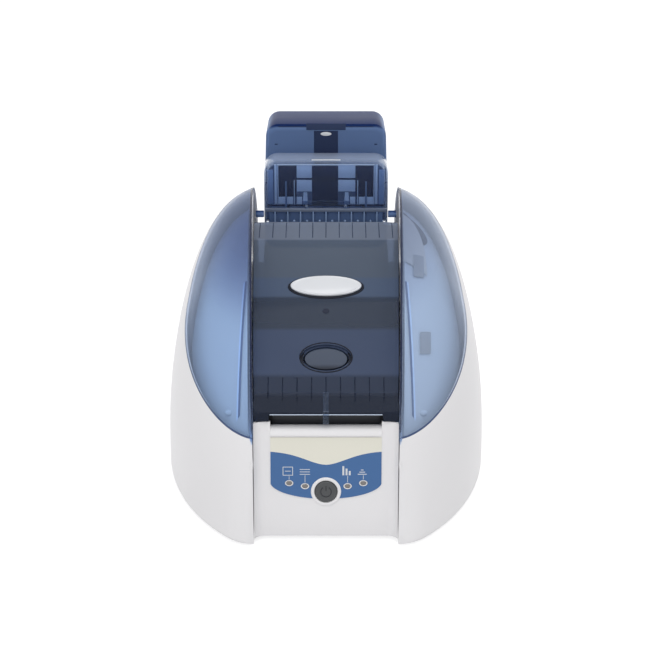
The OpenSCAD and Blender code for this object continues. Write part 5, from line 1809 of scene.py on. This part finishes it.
# %% Marks
mark_low, mark_high = 0.3 * mm, 0.43 * mm
stroke_rows = [(x - 0.15, x + 0.15, low, high) for x, low, high in
               ((-23, 37.8, 39.9), (-13.1, 35.8, 40.6), (13.5, 35.8, 40.2), (23.3, 37.8, 40.6))]
box_rows = [(-27, -20.6, 45.8, 46.2), (-27, -20.6, 40.4, 40.8), (-27, -26.6, 40.8, 45.8),
            (-21, -20.6, 40.8, 45.8), (-25.6, -22, 43.1, 43.5)]
line_rows = [(-16.4, -10, 44.2, 44.6), (-16.4, -10, 42.6, 43.0), (-16.4, -10, 41.0, 41.4)]
bar_rows = [(10.2, 11.4, 40.6, 46.6), (12.2, 13.4, 40.6, 45.0), (14.2, 15.4, 40.6, 43.4)]
stack_rows = [(19.8, 25.4, 41.0, 41.5), (20.8, 24.4, 42.4, 42.9), (21.8, 23.4, 43.8, 44.3)]

marks_bm = bmesh.new()
for x0, x1, s0, s1 in stroke_rows + box_rows + line_rows + bar_rows + stack_rows:
    box_mesh(marks_bm, (x0 * mm, s0 * mm, mark_low), (x1 * mm, s1 * mm, mark_high))
marks = piece_from(laid_on_panel(marks_bm), "plain_marks", inner_white)
stands_for(marks, "frame", "printed_label")
print("marks:", len(marks.data.polygons), "faces")

# %% [markdown]
# ## The four indicator lights
#
# Each light is a small domed lens in a raised oval rim. Both are turned shapes, so the pillow
# function of the badge makes them from a profile of radii and heights in millimetres. They are
# pressed a little narrower up the panel, because the real ones are oval.

# %% Lights
rim_rows = [(2.6, -2.0), (2.6, 0.3), (2.5, 0.45), (2.35, 0.5), (2.2, 0.45), (2.05, 0.3), (1.9, 0.28)]
lens_rows = [(1.95, -2.6), (1.95, 0.25), (1.8, 0.42), (1.3, 0.56), (0.7, 0.62), (0.1, 0.64)]


def turned_on_panel(rows, squash, x, s, name, finish):
    """A turned shape through rows of (radius, height) in millimetres, laid on the panel."""
    bm = pillow(rows)
    for vert in bm.verts:
        vert.co = Vector((vert.co.x, vert.co.y * squash, vert.co.z)) * mm
    return piece_from(laid_on_panel(bm, x, s), name, finish)


for number, (x, s) in enumerate(led_places):
    light_rim = turned_on_panel(rim_rows, 0.76, x * mm, s * mm, "light_rim_%d" % number, white_case)
    light_lens = turned_on_panel(lens_rows, 0.74, x * mm, s * mm, "light_lens_%d" % number, led_lens)
    stands_for(light_rim, "frame", "white_case")
    stands_for(light_lens, "frame", "led_lens")
print("lights:", len(led_places))

# %% [markdown]
# ## The power button
#
# The button's cap is turned too, with a softly rounded edge. It carries the usual open ring and
# stroke, sunk into its top. A bump map would do at a distance; here the groove is cut, and a
# black mark of the same outline lies at its bottom.

# %% Power button
cap_rows = [(6.9, -2.2), (6.9, 0.55), (6.75, 0.8), (6.4, 0.98), (6.0, 0.95), (5.3, 0.82), (3.5, 0.72),
            (1, 0.7)]
arc_open, arc_radii, groove_floor, mark_level = 64, (2.9, 3.7), 0.45 * mm, 0.5 * mm


def arc_place(u, v):
    turn = math.radians(90 + arc_open / 2 + (360 - arc_open) * u)
    radius = arc_radii[round(v)] * mm
    return Vector((radius * math.cos(turn), radius * math.sin(turn), groove_floor))


def mark_place(u, v):
    return Vector((*arc_place(u, v).xy, mark_level))


cap = turned_on_panel(cap_rows, 1, 0, button_level, "power_cap", button_grey)
stroke = bmesh.new()
box_mesh(stroke, (-0.35 * mm, 0.6 * mm, groove_floor), (0.35 * mm, 3.9 * mm, 2 * mm))
carve(cap, piece_from(laid_on_panel(stroke, 0, button_level), "stroke_cutter", button_grey))
arc = bmesh.new()
bent_grid(arc, 48, 1, arc_place)
raised = bmesh.ops.extrude_face_region(arc, geom=arc.faces[:], use_keep_orig=True)["geom"]
for part in raised:
    if isinstance(part, bmesh.types.BMVert):
        part.co.z += 1.6 * mm
carve(cap, piece_from(laid_on_panel(arc, 0, button_level), "arc_cutter", button_grey))
mark_bm = bmesh.new()
bent_grid(mark_bm, 48, 1, mark_place)
box_mesh(mark_bm, (-0.3 * mm, 0.65 * mm, 0.3 * mm), (0.3 * mm, 3.85 * mm, mark_level))
sunk_mark = piece_from(laid_on_panel(mark_bm, 0, button_level), "sunk_mark", black_plastic)
stands_for(cap, "power_switch", "button_grey", "power_button")
stands_for(sunk_mark, "power_switch", "black_plastic")
print("power button:", len(cap.data.polygons), "faces")
